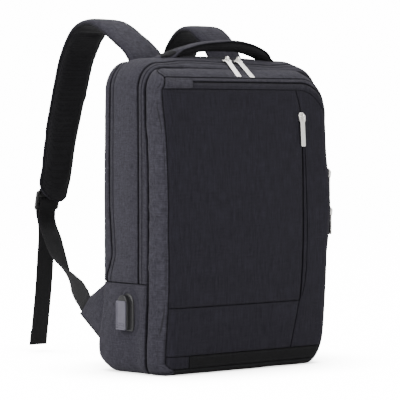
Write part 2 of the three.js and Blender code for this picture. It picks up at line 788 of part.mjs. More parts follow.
function buildFace(stations) {
  const edgeOf = (station) => girthPoint(station, station.girth).p;
  const rising = (a, b) => a.z - b.z;
  const leftEdge = stations.filter((s) => ["left", "topLeft"].includes(s.part));
  const leftPoints = leftEdge.map(edgeOf).sort(rising);
  const footStart = stations.find((s) => s.part === "foot");
  const lowPoints = [...stations.filter((s) => s.part === "low"), footStart].map(edgeOf);
  const bandPoints = stations.filter((s) => ["topRight", "right"].includes(s.part)).map(bandFront);
  const rightPoints = [...lowPoints, ...bandPoints].sort(rising);
  const left = (z) => seamX(leftPoints, z);
  const right = (z) => seamX(rightPoints, z);
  const columns = [0, 0.02, 0.1, 0.4, 0.7, 0.98, 1];
  const top = topSeamHeight;
  const rows = [0, 0.01, 0.07, 0.2, 0.4, 0.6, 0.8, 0.91, 0.99, 1];
  const main = facePanel(pocketSeamHeight, top, left, (z) => slitAt(z).left, rows, columns);
  addMesh("face_panel", main, faceCloth);
  const lowRows = [0, 0.04, 0.5, 0.96, 1];
  const low = facePanel(baseSeamHeight, pocketSeamHeight, left, lowSeamX, lowRows, columns);
  addMesh("face_lower_panel", low, faceCloth);
  const seam = (z) => (z < pocketSeamHeight ? lowSeamX(z) : slitAt(z).right);
  const sideRows = [0, 0.01, 0.1, 0.183, 0.25, 0.35, 0.5, 0.65, 0.78, 0.86, 0.9, 0.94, 0.97, 0.99, 1];
  const sideColumns = [0, 0.05, 0.5, 0.8, 0.95, 1];
  const side = facePanel(baseSeamHeight, top, seam, right, sideRows, sideColumns);
  addMesh("face_side_panel", side, faceCloth);
  const stripColumns = [0, 0.02, 0.08, 0.4, 0.7, 0.92, 0.98, 1];
  const strip = facePanel(hemHeight, baseSeamHeight, left, right, [0, 0.15, 0.85, 1], stripColumns);
  addMesh("base_strip", strip, tape);
}

// The upright pocket zip: its tape fills the slit and reaches under the panels beside it.
function buildPocketZip() {
  const under = 0.5 * seamRoll + wall - 1 + clearance;
  const bottom = pocketSeamHeight + 2 * seamRoll;
  const rows = [0, 0.08, 0.2, 0.4, 0.6, 0.8, 0.94, 1].map((t) => lerp(bottom, pocketZipTop, t));
  const lip = 3;
  const sections = rows.map((z) => {
    const { left, right } = slitAt(z);
    const gap = Math.min(2 * clearance, (right - left) / 4);
    const profile = [
      [left - lip, under],
      [left + gap, under],
      [left + gap, seamRoll],
      [right - gap, seamRoll],
      [right - gap, under],
      [right + lip, under],
    ];
    return profile.map(([x, inset]) => {
      const { p, out } = facePoint(x, z);
      return clothPair({ p, out }, inset, under + tapeThick - inset);
    });
  });
  addMesh("pocket_zip", sectionSolid(sections), tape);
}

// Routes of the shoulder straps after their sewn ends: back is a share of strapReach, height a
// share of the body's height, and width a share of the strap's.
const strapRoutes = {
  left: [
    { back: 0.095, height: 1.003, width: 1 },
    { back: 0.175, height: 1.045, width: 1 },
    { back: 0.258, height: 1.076, width: 1 },
    { back: 0.345, height: 1.104, width: 1 },
    { back: 0.442, height: 1.122, width: 1 },
    { back: 0.583, height: 1.103, width: 1 },
    { back: 0.668, height: 1.053, width: 1 },
    { back: 0.738, height: 0.985, width: 1 },
    { back: 0.782, height: 0.905, width: 1 },
    { back: 0.832, height: 0.81, width: 0.98 },
    { back: 0.882, height: 0.714, width: 0.93 },
    { back: 0.912, height: 0.629, width: 0.88 },
    { back: 0.9435, height: 0.563, width: 0.82 },
    { back: 0.965, height: 0.518, width: 0.5 },
  ],
  right: [
    { back: 0.095, height: 1.003, width: 1 },
    { back: 0.13, height: 1.057, width: 1 },
    { back: 0.188, height: 1.096, width: 1 },
    { back: 0.275, height: 1.107, width: 1 },
    { back: 0.36, height: 1.09, width: 1 },
    { back: 0.468, height: 1.012, width: 1 },
    { back: 0.555, height: 0.935, width: 1 },
    { back: 0.635, height: 0.86, width: 1 },
    { back: 0.695, height: 0.775, width: 1 },
    { back: 0.74, height: 0.68, width: 0.98 },
    { back: 0.77, height: 0.585, width: 0.93 },
    { back: 0.785, height: 0.5, width: 0.88 },
    { back: 0.795, height: 0.455, width: 0.82 },
    { back: 0.806, height: 0.415, width: 0.5 },
  ],
};
const strapSteps = 2; // sections for each row of a route

// Frames along a strap: a point of its middle, the way on and the way out from the wearer.
function strapFrames(sign, rows) {
  const x = sign * strapFromMiddle;
  const sewn = (z) => v3(x, backY + backFace(x, z) + clearance + padThick / 2, z);
  const lifted = strapStart + padThick * 3;
  const route = rows.map((row) => v3(x, backY + row.back * strapReach, row.height * bodyHeight));
  const knots = [sewn(strapStart), sewn(lifted), ...route];
  const widths = [1, 1, ...rows.map((row) => row.width)];
  const curve = new THREE.CatmullRomCurve3(knots, false, "centripetal");
  const across = v3(1, 0, 0);
  const spans = knots.length - 1;
  return Array.from({ length: spans * strapSteps + 1 }, (_, i) => {
    const share = i / (spans * strapSteps);
    const at = Math.min(Math.floor(i / strapSteps), spans - 1);
    const along = curve.getTangent(share);
    const out = v3().crossVectors(across, along).normalize();
    const width = lerp(widths[at], widths[at + 1], i / strapSteps - at);
    return { p: curve.getPoint(share), along, out, width };
  });
}

function ribbon(frames, profile) {
  const at = (frame, [x, out]) =>
    frame.p.clone().addScaledVector(frame.out, out).add(v3(x * frame.width, 0, 0));
  return sectionSolid(
    frames.map((frame) => profile.map(([top, bottom]) => [at(frame, top), at(frame, bottom)])),
  );
}

const coverTop = padThick / 2 + clearance + coverThick;

function buildStrap(side, sign) {
  const frames = strapFrames(sign, strapRoutes[side]);
  const half = strapWidth / 2;
  const padHalf = half - coverThick - clearance;
  const thick = padThick / 2;
  const padProfile = [-1, -0.9, 0.9, 1].map((share) => {
    const t = Math.abs(share) === 1 ? thick * 0.6 : thick;
    return [[share * padHalf, t], [share * padHalf, -t]];
  });
  const low = coverTop - coverWrap;
  const inner = half - coverThick;
  const coverProfile = [
    [[-half, low], [-inner, low]],
    [[-half, coverTop - coverThick], [-inner, coverTop - coverThick]],
    [[-inner, coverTop], [-inner + coverThick, coverTop - coverThick]],
    [[inner, coverTop], [inner - coverThick, coverTop - coverThick]],
    [[half, coverTop - coverThick], [inner, coverTop - coverThick]],
    [[half, low], [inner, low]],
  ];
  const away = v3(0, 1, 0);
  const pad = seatedOn(ribbon(frames, padProfile), backPanel.geometry, away);
  const cover = seatedOn(ribbon(frames, coverProfile), backPanel.geometry, away);
  addMesh(`strap_pad_${side}`, pad, meshCloth);
  addMesh(`strap_cover_${side}`, cover, cloth);
  return frames[frames.length - 1];
}

const tabGap = clearance; // between the tab and what it lies on
const lockOut = coverTop + tabGap + webThick + clearance + lock.thick / 2;
const tabThick = webThick;

function lockPlace(end) {
  return end.p.clone().addScaledVector(end.out, lockOut);
}

// The ladder lock: a plate with two slots between its three bars.
function buildLock(side, end) {
  const shape = polygon(cutRectangle(lock.width, lock.height, lock.corner));
  const slotX = webWidth / 2 + 4 * clearance;
  const bars = lock.bar / 2;
  const far = lock.height / 2 - lock.bar;
  for (const [low, high] of [[-far, -bars], [bars, far]]) {
    const corners = [[-slotX, low], [slotX, low], [slotX, high], [-slotX, high]];
    shape.holes.push(new THREE.Path(corners.map(([x, y]) => new THREE.Vector2(x, y))));
  }
  const plate = extruded(shape, lock.thick);
  addMesh(`ladder_lock_${side}`, placed(plate, lockPlace(end), v3(1, 0, 0), end.out), plastic);
}

// The tab is sewn to the strap's cover and folds round the lock's upper bar.
function buildTab(side, end) {
  const barTop = -lock.height / 2;
  const fold = barTop + lock.bar + clearance;
  const inner = coverTop + tabGap;
  const outer = lockOut + lock.thick / 2 + clearance;
  const lap = barTop - lock.height / 3;
  const profile = [
    [fold - tabLength, inner],
    [fold + tabThick, inner],
    [fold + tabThick, outer + tabThick],
    [barTop - clearance, outer + tabThick],
    [lap, inner + 2 * tabThick + tabGap],
    [lap - tabThick, inner + tabThick + tabGap],
    [lap, inner + tabThick + tabGap],
    [barTop - clearance, outer],
    [fold, outer],
    [fold, inner + tabThick],
    [fold - tabLength, inner + tabThick],
  ];
  const strip = extruded(polygon(profile), webWidth);
  const folded = placed(strip, end.p.clone(), end.along, v3(1, 0, 0));
  const cover = bag.getObjectByName(`strap_cover_${side}`).geometry;
  addMesh(`strap_tab_${side}`, seatedOn(folded, cover, end.out), cloth);
}

// Sag of the webbing between its wing and the lock; sag is a share of legSag, and turn the
// share of a quarter twist.
const legRows = [
  { along: 0.93, sag: 0.06, turn: 1 },
  { along: 0.82, sag: 0.28, turn: 0.9 },
  { along: 0.71, sag: 0.5, turn: 0.6 },
  { along: 0.6, sag: 0.74, turn: 0.3 },
  { along: 0.47, sag: 1, turn: 0.1 },
  { along: 0.33, sag: 1.14, turn: 0 },
  { along: 0.18, sag: 0.86, turn: 0 },
];
const tailRows = [
  { down: 0.1, lean: -0.3 },
  { down: 0.35, lean: -0.15 },
  { down: 0.6, lean: 0.15 },
  { down: 0.8, lean: 0.5 },
  { down: 1, lean: 0.85 },
];

function wingEnd(sign) {
  const top = v3(0, backY + wing.shortReach, wing.endTop);
  const foot = v3(0, backY + wing.reach, wing.endFoot);
  const middle = top.clone().add(foot).multiplyScalar(0.5);
  middle.x = sign * (bodySection(0).half - wing.thick / 2);
  const across = foot.clone().sub(top).normalize();
  return { middle, across, away: v3(0, -across.z, across.y) };
}

function buildWebbing(side, sign, end) {
  const centre = lockPlace(end);
  const x = v3(1, 0, 0);
  const reach = lock.thick / 2 + 1.5 * clearance + webThick / 2;
  const turnAt = -lock.bar / 2 + clearance;
  const at = (along, out) =>
    centre.clone().addScaledVector(end.along, along).addScaledVector(end.out, out);
  const { middle, across, away } = wingEnd(sign);
  const frames = [];
  const root = middle.clone().addScaledVector(away, seamGap);
  frames.push({ p: root, across: across.clone() });
  const start = at(lock.height * 0.65, -reach);
  for (const row of legRows) {
    const p = start.clone().lerp(middle, row.along);
    p.z -= row.sag * legSag;
    const level = x.clone().multiplyScalar(-sign);
    const turned = level.multiplyScalar(Math.cos(quarter * row.turn));
    frames.push({ p, across: turned.addScaledVector(across, Math.sin(quarter * row.turn)) });
  }
  const flat = x.clone().multiplyScalar(-sign);
  for (const along of [0.65, 0.3]) frames.push({ p: at(lock.height * along, -reach), across: flat });
  for (const angle of [-1, -0.5, 0, 0.5, 1]) {
    const p = at(turnAt - reach * Math.cos(quarter * angle), reach * Math.sin(quarter * angle));
    frames.push({ p, across: flat });
  }
  frames.push({ p: at(lock.height * 0.6, reach + clearance), across: flat });
  const drop = frames[frames.length - 1].p.clone();
  for (const row of tailRows) {
    const z = lerp(drop.z, tailHeight, row.down);
    frames.push({ p: v3(drop.x, drop.y + row.lean * tailLean, z), across: flat });
  }
  const sections = frames.map((frame, i) => {
    const before = frames[Math.max(0, i - 1)].p;
    const after = frames[Math.min(frames.length - 1, i + 1)].p;
    const along = after.clone().sub(before).normalize();
    const out = v3().crossVectors(along, frame.across).normalize();
    const point = (u, v) =>
      frame.p.clone().addScaledVector(frame.across, u).addScaledVector(out, v);
    const [w, t] = [webWidth / 2, webThick / 2];
    return [-w, w].map((u) => [point(u, t), point(u, -t)]);
  });
  addMesh(`webbing_${side}`, sectionSolid(sections), web);
}

function buildWing(side, sign) {
  const root = backY - backPad;
  const outline = [
    [root, wing.foot],
    [backY + backPad * 1.6, wing.foot],
    [backY + wing.reach, wing.endFoot],
    [backY + wing.shortReach, wing.endTop],
    [backY + backPad * 0.6, wing.top],
    [root, wing.top],
  ];
  const x = sign * (bodySection(0).half - wing.thick / 2);
  const sheet = extruded(polygon(outline), wing.thick);
  const geometry = placed(sheet, v3(x, 0, 0), v3(0, 1, 0), v3(1, 0, 0));
  const carrier = toSolid(backPanel.geometry);
  const keep = toSolid(new THREE.BoxGeometry(bodyWidth, 2 * bodyWidth, bodyHeight));
  const behind = keep.translate([0, backY + bodyWidth, bodyHeight / 2]);
  const moved = carrier.translate([0, clearance, 0]);
  const parts = toSolid(geometry).intersect(behind).subtract(moved).decompose();
  const largest = parts.sort((a, b) => b.volume() - a.volume())[0];
  addMesh(`wing_${side}`, toGeometry(largest), cloth);
}

// The handle's middle line: out is a share of half its span, rise a share of handleRise.
const handleRows = [
  { out: 1, rise: 0 },
  { out: 0.94, rise: 0.1 },
  { out: 0.86, rise: 0.3 },
  { out: 0.77, rise: 0.49 },
  { out: 0.66, rise: 0.67 },
  { out: 0.52, rise: 0.83 },
  { out: 0.36, rise: 0.95 },
  { out: 0.18, rise: 1 },
];

function topOfBody(x, fromBack) {
  const s = bodySection(fromBack);
  const flat = s.half - s.run;
  const share = clamp(1 - Math.abs(x) / flat, 0, 1);
  const over = clamp((Math.abs(x) - flat) / s.run, 0, 1);
  const corner = s.rise * (1 - Math.sqrt(1 - over * over));
  return s.top + topCrown * bodyHeight * Math.sin(quarter * share) - corner;
}

function buildHandle() {
  const half = handleSpan / 2;
  const lift = handlePadThick / 2;
  const rows = [
    ...handleRows.map((row) => ({ x: -row.out * half, rise: row.rise })),
    { x: 0, rise: 1 },
    ...[...handleRows].reverse().map((row) => ({ x: row.out * half, rise: row.rise })),
  ];
  const base = topOfBody(half - handleFoot, handleFromBack);
  const crown = topOfBody(0, handleFromBack) - base;
  const frames = rows.map((row) => {
    const sewn = topOfBody(row.x, handleFromBack);
    const raised = base + crown + handleRise;
    return v3(row.x, backY - handleFromBack, lerp(sewn, raised, row.rise) + lift);
  });
  const section = (low, high, width, wrap) => (p, i) => {
    const before = frames[Math.max(0, i - 1)];
    const after = frames[Math.min(frames.length - 1, i + 1)];
    const along = after.clone().sub(before).normalize();
    const out = v3(-along.z, 0, along.x);
    const at = (y, h) => p.clone().addScaledVector(out, h).add(v3(0, y, 0));
    const edge = width * 0.5;
    return [-1, -0.8, 0.8, 1].map((share) => {
      const drop = Math.abs(share) === 1 ? wrap : 0;
      return [at(share * edge, high - drop), at(share * edge, low + drop * 0.4)];
    });
  };
  const pad = frames.map(section(-lift, lift, handleWidth, lift * 0.5));
  const coverLow = lift + clearance;
  const cover = frames.map(section(coverLow, coverLow + handleCoverThick, handleWidth - 2, 1));
  const away = v3(0, 0, 1);
  const gusset = bag.getObjectByName("main_gusset").geometry;
  addMesh("handle_pad", seatedOn(sectionSolid(pad), gusset, away), meshCloth);
  addMesh("handle_cover", sectionSolid(cover), cloth);
}

// A slider lies on a zip with z out of the cloth and its pull towards x. turn is the angle from
// the pull to the zip's run.
function sliderGeometry(turn, keelDepth) {
  const outline = cutRectangle(slider.length, slider.width, slider.width / 3.5);
  const plate = extruded(polygon(outline), slider.thick).translate(0, 0, slider.thick / 2);
  const keel = new THREE.BoxGeometry(slider.length * 0.4, slider.keel, keelDepth);
  keel.translate(0, 0, -keelDepth / 2 + slider.thick / 2);
  const base = toSolid(plate).add(toSolid(keel)).rotate([0, 0, (turn * 180) / Math.PI]);
  const half = bridge.span / 2;
  const inner = half - bridge.thick;
  const low = slider.thick / 2;
  const top = slider.thick + bridge.rise;
  const arch = polygon([
    [-half, low],
    [-inner, low],
    [-inner, top],
    [inner, top],
    [inner, low],
    [half, low],
    [half, top],
    [inner, top + bridge.thick],
    [-inner, top + bridge.thick],
    [-half, top],
  ]);
  const loop = extruded(arch, bridge.width);
  loop.rotateX(quarter);
  return toGeometry(base.add(toSolid(loop)));
}

// A pull: a bar with a hole at its end that the slider's bridge passes through. x runs along
// it from the middle of its end bar.
function pullGeometry(length) {
  const shape = polygon(cutRectangle(length, pull.width, pull.corner));
  const first = -length / 2 + pull.end;
  const [low, high] = [first, first + pull.holeLength];
  const side = pull.holeWidth / 2;
  const cut = side / 2;
  const corners = [
    [low, -cut],
    [low + cut, -side],
    [high, -side],
    [high, side],
    [low + cut, side],
    [low, cut],
  ];
  shape.holes.push(new THREE.Path(corners.map(([x, y]) => new THREE.Vector2(x, y))));
  return extruded(shape, pull.thick).translate(length / 2 - pull.end / 2, 0, 0);
}

// One slider with its pull. seat is the cloth's surface at the zip, out the way up from it,
// hang the way that the pull lies, turn the zip's angle to that, and dip how far the pull
// tips towards the cloth.
function buildSlider(name, { seat, out, hang, turn, dip, length, keel }) {
  const up = out.clone().normalize();
  const origin = seat.clone().addScaledVector(up, clearance);
  const body = placed(sliderGeometry(turn, keel), origin, hang, up);
  addMesh(`${name}_slider`, body, metal);
  const play = dip > 0 ? bridge.rise - pull.thick / 2 - clearance : pull.thick / 2 + clearance;
  const start = origin.clone().addScaledVector(up, slider.thick + play);
  const level = hang.clone().addScaledVector(up, -hang.dot(up)).normalize();
  const bar = pullGeometry(length);
  const along = level.clone().multiplyScalar(Math.cos(dip)).addScaledVector(up, -Math.sin(dip));
  const normal = up.clone().multiplyScalar(Math.cos(dip)).addScaledVector(level, Math.sin(dip));
  addMesh(`${name}_pull`, placed(bar, start, along, normal), metal);
}

// Sliders of the main zip: x of the slider, and how far its pull's tip lies to the side.
const mainSliders = [
  { name: "main_left", x: 5, aside: -12 },
  { name: "main_right", x: 26, aside: -8 },
];
const deepKeel = 1.5 * slider.thick; // a slider's keel reaches into the zip's slit
const mainSlope = 0.25; // of the top at the main zip
const mainDip = 0.25; // radians
// Sliders of the pouch zip, on the right side; height is a share of the pouch's.
const pouchSliders = [
  { name: "pouch_upper", height: 0.655 },
  { name: "pouch_lower", height: 0.52 },
];

function buildSliders() {
  for (const { name, x, aside } of mainSliders) {
    const z = topOfBody(x, mainZipFromBack);
    const y = backY - mainZipFromBack - grooveBow * (mainZipFromBack / mainDepth) * swellAt(z);
    const out = v3(0, -mainSlope, 1);
    const hang = v3(aside, -mainPullLength, -mainSlope * mainPullLength);
    const turn = quarter - Math.atan2(-aside, mainPullLength);
    const seat = v3(x, y, z);
    const length = mainPullLength;
    buildSlider(name, { seat, out, hang, turn, dip: mainDip, length, keel: deepKeel });
  }
  const z = pocketZipTop - slider.length / 2;
  const { left, right } = slitAt(z);
  const { p, out } = facePoint((left + right) / 2, z);
  const down = v3(0, 0, -1);
  const still = { hang: down, turn: 0, dip: 0 };
  buildSlider("pocket", { seat: p, out, keel: deepKeel, length: pocketPullLength, ...still });
  for (const { name, height } of pouchSliders) {
    const station = { ...rimSide(1, height * pouchHeight) };
    const seat = girthPoint(station, -bandSideDepth + clearance).p;
    const keel = slider.thick;
    buildSlider(name, { seat, out: station.out, keel, length: pullLength, ...still });
  }
}

// The charging port: a domed plastic housing on the lower panel's left side, with a soft cap.
function buildPort() {
  const s = bodySection(port.fromBack);
  const x = -s.half - sideSwell * swellAt(port.middleHeight);
  const y = backY - port.fromBack;
  const arch = (width, height) => {
    const [w, h] = [width / 2, height / 2];
    const shoulder = h - w * 0.9;
    const outline = [[-w, -h + w * 0.3], [-w * 0.7, -h], [w * 0.7, -h], [w, -h + w * 0.3]];
    for (let i = 0; i <= 4; i++) {
      const angle = (Math.PI * i) / 4;
      outline.push([w * Math.cos(angle), shoulder + (h - shoulder) * Math.sin(angle)]);
    }
    return outline;
  };
  const foot = arch(port.width + 2 * port.flange, port.height + 2 * port.flange);
  const face = arch(port.width, port.height);
  const depth = port.proud;
  const section = (outline, out) => outline.map(([u, v]) => v3(x - out, y + u, port.middleHeight + v));
  const loops = [
    section(foot, -wall),
    section(foot, port.flange),
    section(face, port.flange),
    section(face, depth - port.flange),
    section(arch(port.width * 0.86, port.height * 0.92), depth),
  ];
  const housing = loopSolid(loops);
  const panel = bag.getObjectByName("lower_panel").geometry;
  const largest = toSolid(housing)
    .subtract(toSolid(panel).translate([-clearance, 0, 0]))
    .decompose()
    .sort((a, b) => b.volume() - a.volume())[0];
  addMesh("port_housing", toGeometry(largest), plastic);
  const lid = extruded(polygon(cutRectangle(portCap.width, portCap.height, 2)), portCap.thick);
  const seat = v3(x - depth - clearance - portCap.thick / 2, y, port.middleHeight - port.flange);
  addMesh("port_cap", placed(lid, seat, v3(0, 1, 0), v3(-1, 0, 0)), rubber);
}

// A closed solid through loops of points, each end closed by a fan.
function loopSolid(loops) {
  const count = loops[0].length;
  const position = loops.flat().flatMap((p) => [p.x, p.y, p.z]);
  const index = [];
  for (let s = 0; s < loops.length - 1; s++) {
    for (let i = 0; i < count; i++) {
      const j = (i + 1) % count;
      const [a, b] = [s * count + i, s * count + j];
      index.push(a, b, b + count, a, b + count, a + count);
    }
  }
  const end = (loops.length - 1) * count;
  for (let i = 1; i < count - 1; i++) {
    index.push(0, i + 1, i);
    index.push(end, end + i, end + i + 1);
  }
  const geometry = new THREE.BufferGeometry();
  geometry.setAttribute("position", new THREE.Float32BufferAttribute(position, 3));
  geometry.setIndex(index);
  return facingOut(geometry);
}

buildBody();
const backPanel = buildBackPanel();
buildDivider();
const rim = rimStations();
buildPouchGusset(rim);
buildPouchBand(bandStations(rim));
buildPouchZip(bandStations(rim));
buildFace(rim);
buildPocketZip();
for (const [side, sign] of [["left", -1], ["right", 1]]) {
  const end = buildStrap(side, sign);
  buildLock(side, end);
  buildTab(side, end);
  buildWebbing(side, sign, end);
  buildWing(side, sign);
}
buildHandle();
buildSliders();
buildPort();

export default bag;
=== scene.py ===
"""Looks of a laptop backpack that stands on its base, with its straps raised behind it.
Shapes are worked out in millimetres and turned to metres as each mesh is made."""
import math

import bmesh
import bpy
import numpy as np
from mathutils import Matrix, Vector
from mathutils.bvhtree import BVHTree


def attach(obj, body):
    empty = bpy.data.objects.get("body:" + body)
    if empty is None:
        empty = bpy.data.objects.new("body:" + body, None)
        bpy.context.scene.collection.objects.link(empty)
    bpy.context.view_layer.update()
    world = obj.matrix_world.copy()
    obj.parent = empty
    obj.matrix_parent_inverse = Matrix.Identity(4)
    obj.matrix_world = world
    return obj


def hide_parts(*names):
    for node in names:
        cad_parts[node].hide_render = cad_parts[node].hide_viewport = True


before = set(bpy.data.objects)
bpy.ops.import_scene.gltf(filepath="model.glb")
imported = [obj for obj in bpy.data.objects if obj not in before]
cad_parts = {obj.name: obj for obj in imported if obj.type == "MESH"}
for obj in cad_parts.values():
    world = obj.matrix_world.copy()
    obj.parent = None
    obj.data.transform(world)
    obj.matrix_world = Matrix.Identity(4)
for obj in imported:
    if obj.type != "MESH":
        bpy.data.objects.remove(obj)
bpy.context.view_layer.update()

MM = 0.001
QUARTER = math.pi / 2

# Sizes of the bag, as in its solids
BODY_WIDTH, BODY_HEIGHT = 310.0, 426.0
MAIN_DEPTH, POUCH_DEPTH = 95.0, 33.0
BACK_Y = (MAIN_DEPTH + POUCH_DEPTH) / 2
GROOVE_Y = BACK_Y - MAIN_DEPTH
FRONT_Y = GROOVE_Y - POUCH_DEPTH
HALF = BODY_WIDTH / 2
SEAM_GAP = 0.6
LAPTOP_ZIP, MAIN_ZIP = 15.0, 74.0
LOWER_PANEL = 121.0
SIDE_SWELL, POUCH_SWELL = 3.0, 6.0
GROOVE_BOW, FRONT_DOME = 7.0, 4.0
POUCH_HALF, POUCH_HEIGHT = 144.5, 411.0
CORNER_TOP = {"left": (26.0, 30.0), "right": (42.0, 58.0)}
CORNER_FOOT = {"left": (10.0, 16.0), "right": (30.0, 42.0)}
TOP_EDGE = (30.0, 30.0, 1.35)
SIDE_EDGE = (14.0, 16.0, 2.0)
FOOT_EDGE = (12.0, 14.0, 2.0)
TOP_SEAM, BAND_TOP, BAND_DEPTH = 382.0, 13.0, 9.0
BAND_RUN, BAND_RISE, BAND_SIDE, BAND_FOOT = 61.0, 60.0, 2.0, 60.0
POCKET_X, POCKET_TOP, POCKET_SEAM = 88.0, 350.0, 91.0
BASE_SEAM, HEM, FLAP = 26.0, 9.0, 8.5
STRAP_X, STRAP_WIDTH, STRAP_REACH = 70.0, 62.0, 240.0

# Sections of the body from the back seam to the groove, as shares of its sizes
BODY = np.array([
    # from, width, top, run, rise, lift
    (0.00, 0.968, 0.985, 0.105, 0.085, 0.012),
    (0.06, 0.990, 0.996, 0.110, 0.090, 0.0),
    (0.14, 0.993, 0.998, 0.115, 0.090, 0.0),
    (0.30, 1.000, 1.004, 0.125, 0.100, 0.0),
    (0.60, 1.000, 1.005, 0.125, 0.095, 0.0),
    (0.76, 0.993, 0.998, 0.120, 0.095, 0.0),
    (0.88, 1.000, 0.988, 0.115, 0.090, 0.0),
    (1.00, 0.990, 0.970, 0.110, 0.090, 0.0),
])
FOOT_RUN, FOOT_RISE, CROWN = 0.042 * BODY_WIDTH, 0.04 * BODY_HEIGHT, 0.01 * BODY_HEIGHT
LEFT_SEAM = np.array([
    (0.0, 1.5), (0.1, 2.0), (0.3, 6.0), (0.55, 8.0), (0.75, 5.5), (0.88, 2.5), (1.0, 2.0)
])
POCKET_SLIT = np.array([
    (0.0, -3, 0), (0.03, -2, 0.5), (0.09, -1, 0.95), (0.17, 0, 1.1), (0.3, 0.5, 1.05), (0.48, 0, 0.9),
    (0.72, 0.5, 0.65), (0.84, -1.5, 0.4), (0.885, -0.5, 0), (1.0, -8, 0),
])
# How far the top sags before the main zip, from left to right
SAG = np.array([
    (-150, 0), (-112, 2.2), (-84, 1.2), (-50, 2.4), (0, 5.0), (40, 5.6), (80, 5.0), (105, 2.6),
    (128, 0.6), (150, 0),
])
# How far the pouch leans out over the groove: height, then shift at the face and at the groove
LEAN_LEFT = np.array([
    (0, 0.5, -8.5), (28, 0.5, -9.0), (60, 0.0, -7.4), (95, -1.5, -7.0), (150, -3.6, -7.6),
    (205, -6.2, -6.6), (270, -6.0, -7.4), (312, -5.5, -7.8), (338, -5.6, -8.6), (362, -6.6, -8.6),
    (386, -8.0, -8.6), (411, -9.0, -8.6),
])
LEAN_RIGHT = np.array([
    (0, -7.0, -2.0), (60, -5.0, 1.0), (150, -5.0, 1.0), (182, -2.0, 3.0), (222, 0.5, 5.0),
    (262, -2.5, 3.0), (300, -5.5, 1.0), (340, -5.0, 1.0), (411, -3.0, 1.0),
])
# How far back the groove strays at the left: height, shift
GROOVE_STRAY = np.array([(0, 3.6), (60, 3.4), (105, 1.6), (170, 0.8), (270, 1.0), (312, 2.4), (340, 4.6), (411, 5.0)])


# Small numeric helpers

def lerp(a, b, t):
    return a + (b - a) * t


def smooth(t):
    t = np.clip(t, 0, 1)
    return t * t * (3 - 2 * t)


def pchip(x, xs, ys):
    """A smooth curve through a table that doesn't overshoot it."""
    x, xs, ys = np.asarray(x, float), np.asarray(xs, float), np.asarray(ys, float)
    h, d = np.diff(xs), np.diff(ys) / np.diff(xs)
    m = np.empty_like(ys)
    m[0], m[-1] = d[0], d[-1]
    same = d[:-1] * d[1:] > 0
    m[1:-1] = np.where(same, 2 * d[:-1] * d[1:] / np.where(same, d[:-1] + d[1:], 1), 0)
    i = np.clip(np.searchsorted(xs, x) - 1, 0, len(xs) - 2)
    t = np.clip((x - xs[i]) / h[i], 0, 1)
    a, b = ys[i], ys[i + 1]
    return (
        a * (1 + 2 * t) * (1 - t) ** 2
        + m[i] * h[i] * t * (1 - t) ** 2
        + b * t * t * (3 - 2 * t)
        + m[i + 1] * h[i] * t * t * (t - 1)
    )


def noise(u, v, cell_u, cell_v, seed):
    """Smooth noise from -1 to 1 over a plane, with the given cell sizes."""
    grid = np.random.RandomState(seed).uniform(-1, 1, (64, 64))
    a, b = np.asarray(u, float) / cell_u, np.asarray(v, float) / cell_v
    i, j = np.floor(a).astype(int), np.floor(b).astype(int)
    s, t = smooth(a - i), smooth(b - j)
    g = lambda p, q: grid[p % 64, q % 64]
    low = lerp(g(i, j), g(i + 1, j), s)
    high = lerp(g(i, j + 1), g(i + 1, j + 1), s)
    return lerp(low, high, t)


def bump_at(u, v, cu, cv, ru, rv, turn=0.0):
    """A soft dent's shape about a point: 1 at the middle, 0 far away."""
    a, b = u - cu, v - cv
    c, s = math.cos(turn), math.sin(turn)
    p, q = (a * c + b * s) / ru, (-a * s + b * c) / rv
    return np.exp(-(p * p + q * q))


def unit(v):
    return v / np.maximum(np.linalg.norm(v, axis=-1, keepdims=True), 1e-9)


def stack(x, y, z):
    x, y, z = np.broadcast_arrays(x, y, z)
    return np.stack([x, y, z], -1).astype(float)


def swell_at(z):
    return np.sin(math.pi * np.clip(z / BODY_HEIGHT, 0, 1))


def leaned(p):
    """The pouch's sides, spread towards the groove."""
    x, y, z = p[..., 0], p[..., 1], p[..., 2]
    deep = smooth((y + 64) / 30)
    for sign, table in ((-1, LEAN_LEFT), (1, LEAN_RIGHT)):
        near = smooth((sign * x - 84) / 52)
        front, back = pchip(z, table[:, 0], table[:, 1]), pchip(z, table[:, 0], table[:, 2])
        x = x + lerp(front, back, deep) * near * (1 if sign < 0 else 1)
    return stack(x, y, z)


def slumped(p):
    """The body's lower back corners, pressed outwards where the bag rests on them."""
    x, y, z = p[..., 0], p[..., 1], p[..., 2]
    side = smooth((np.abs(x) - 96) / 50)
    back = smooth((y + 14) / 62)
    x = x + np.sign(x) * 10.0 * np.exp(-(((z - 30) / 46) ** 2)) * back * side
    y = y + 2.5 * np.exp(-(((z - 40) / 50) ** 2)) * back * side
    z = z + 11.0 * np.clip((y - 34) / 30, 0, 1.1) ** 2 * np.exp(-((z / 22) ** 2)) * side
    z = z - pchip(np.clip(x, -150, 150), SAG[:, 0], SAG[:, 1]) * smooth((z - 385) / 30) * smooth((30 - y) / 42)
    return stack(x, y, z)


def groove_y(x, z):
    """The groove's middle at the surface, further back at the left as the pouch there."""
    left = smooth((-x - 70) / 50)
    return GROOVE_Y - GROOVE_BOW * swell_at(z) + pchip(z, GROOVE_STRAY[:, 0], GROOVE_STRAY[:, 1]) * left


# The body's surface

SIDE_RUN, CORNER_ARC, TOP_RUN = 258.0, 60.0, 118.0
ARCH = 2 * (SIDE_RUN + CORNER_ARC + TOP_RUN)
LEG_RUN, FOOT_ARC, BASE_RUN = LOWER_PANEL - FOOT_RISE, 24.0, HALF - FOOT_RUN
TRAY = 2 * (LEG_RUN + FOOT_ARC + BASE_RUN)


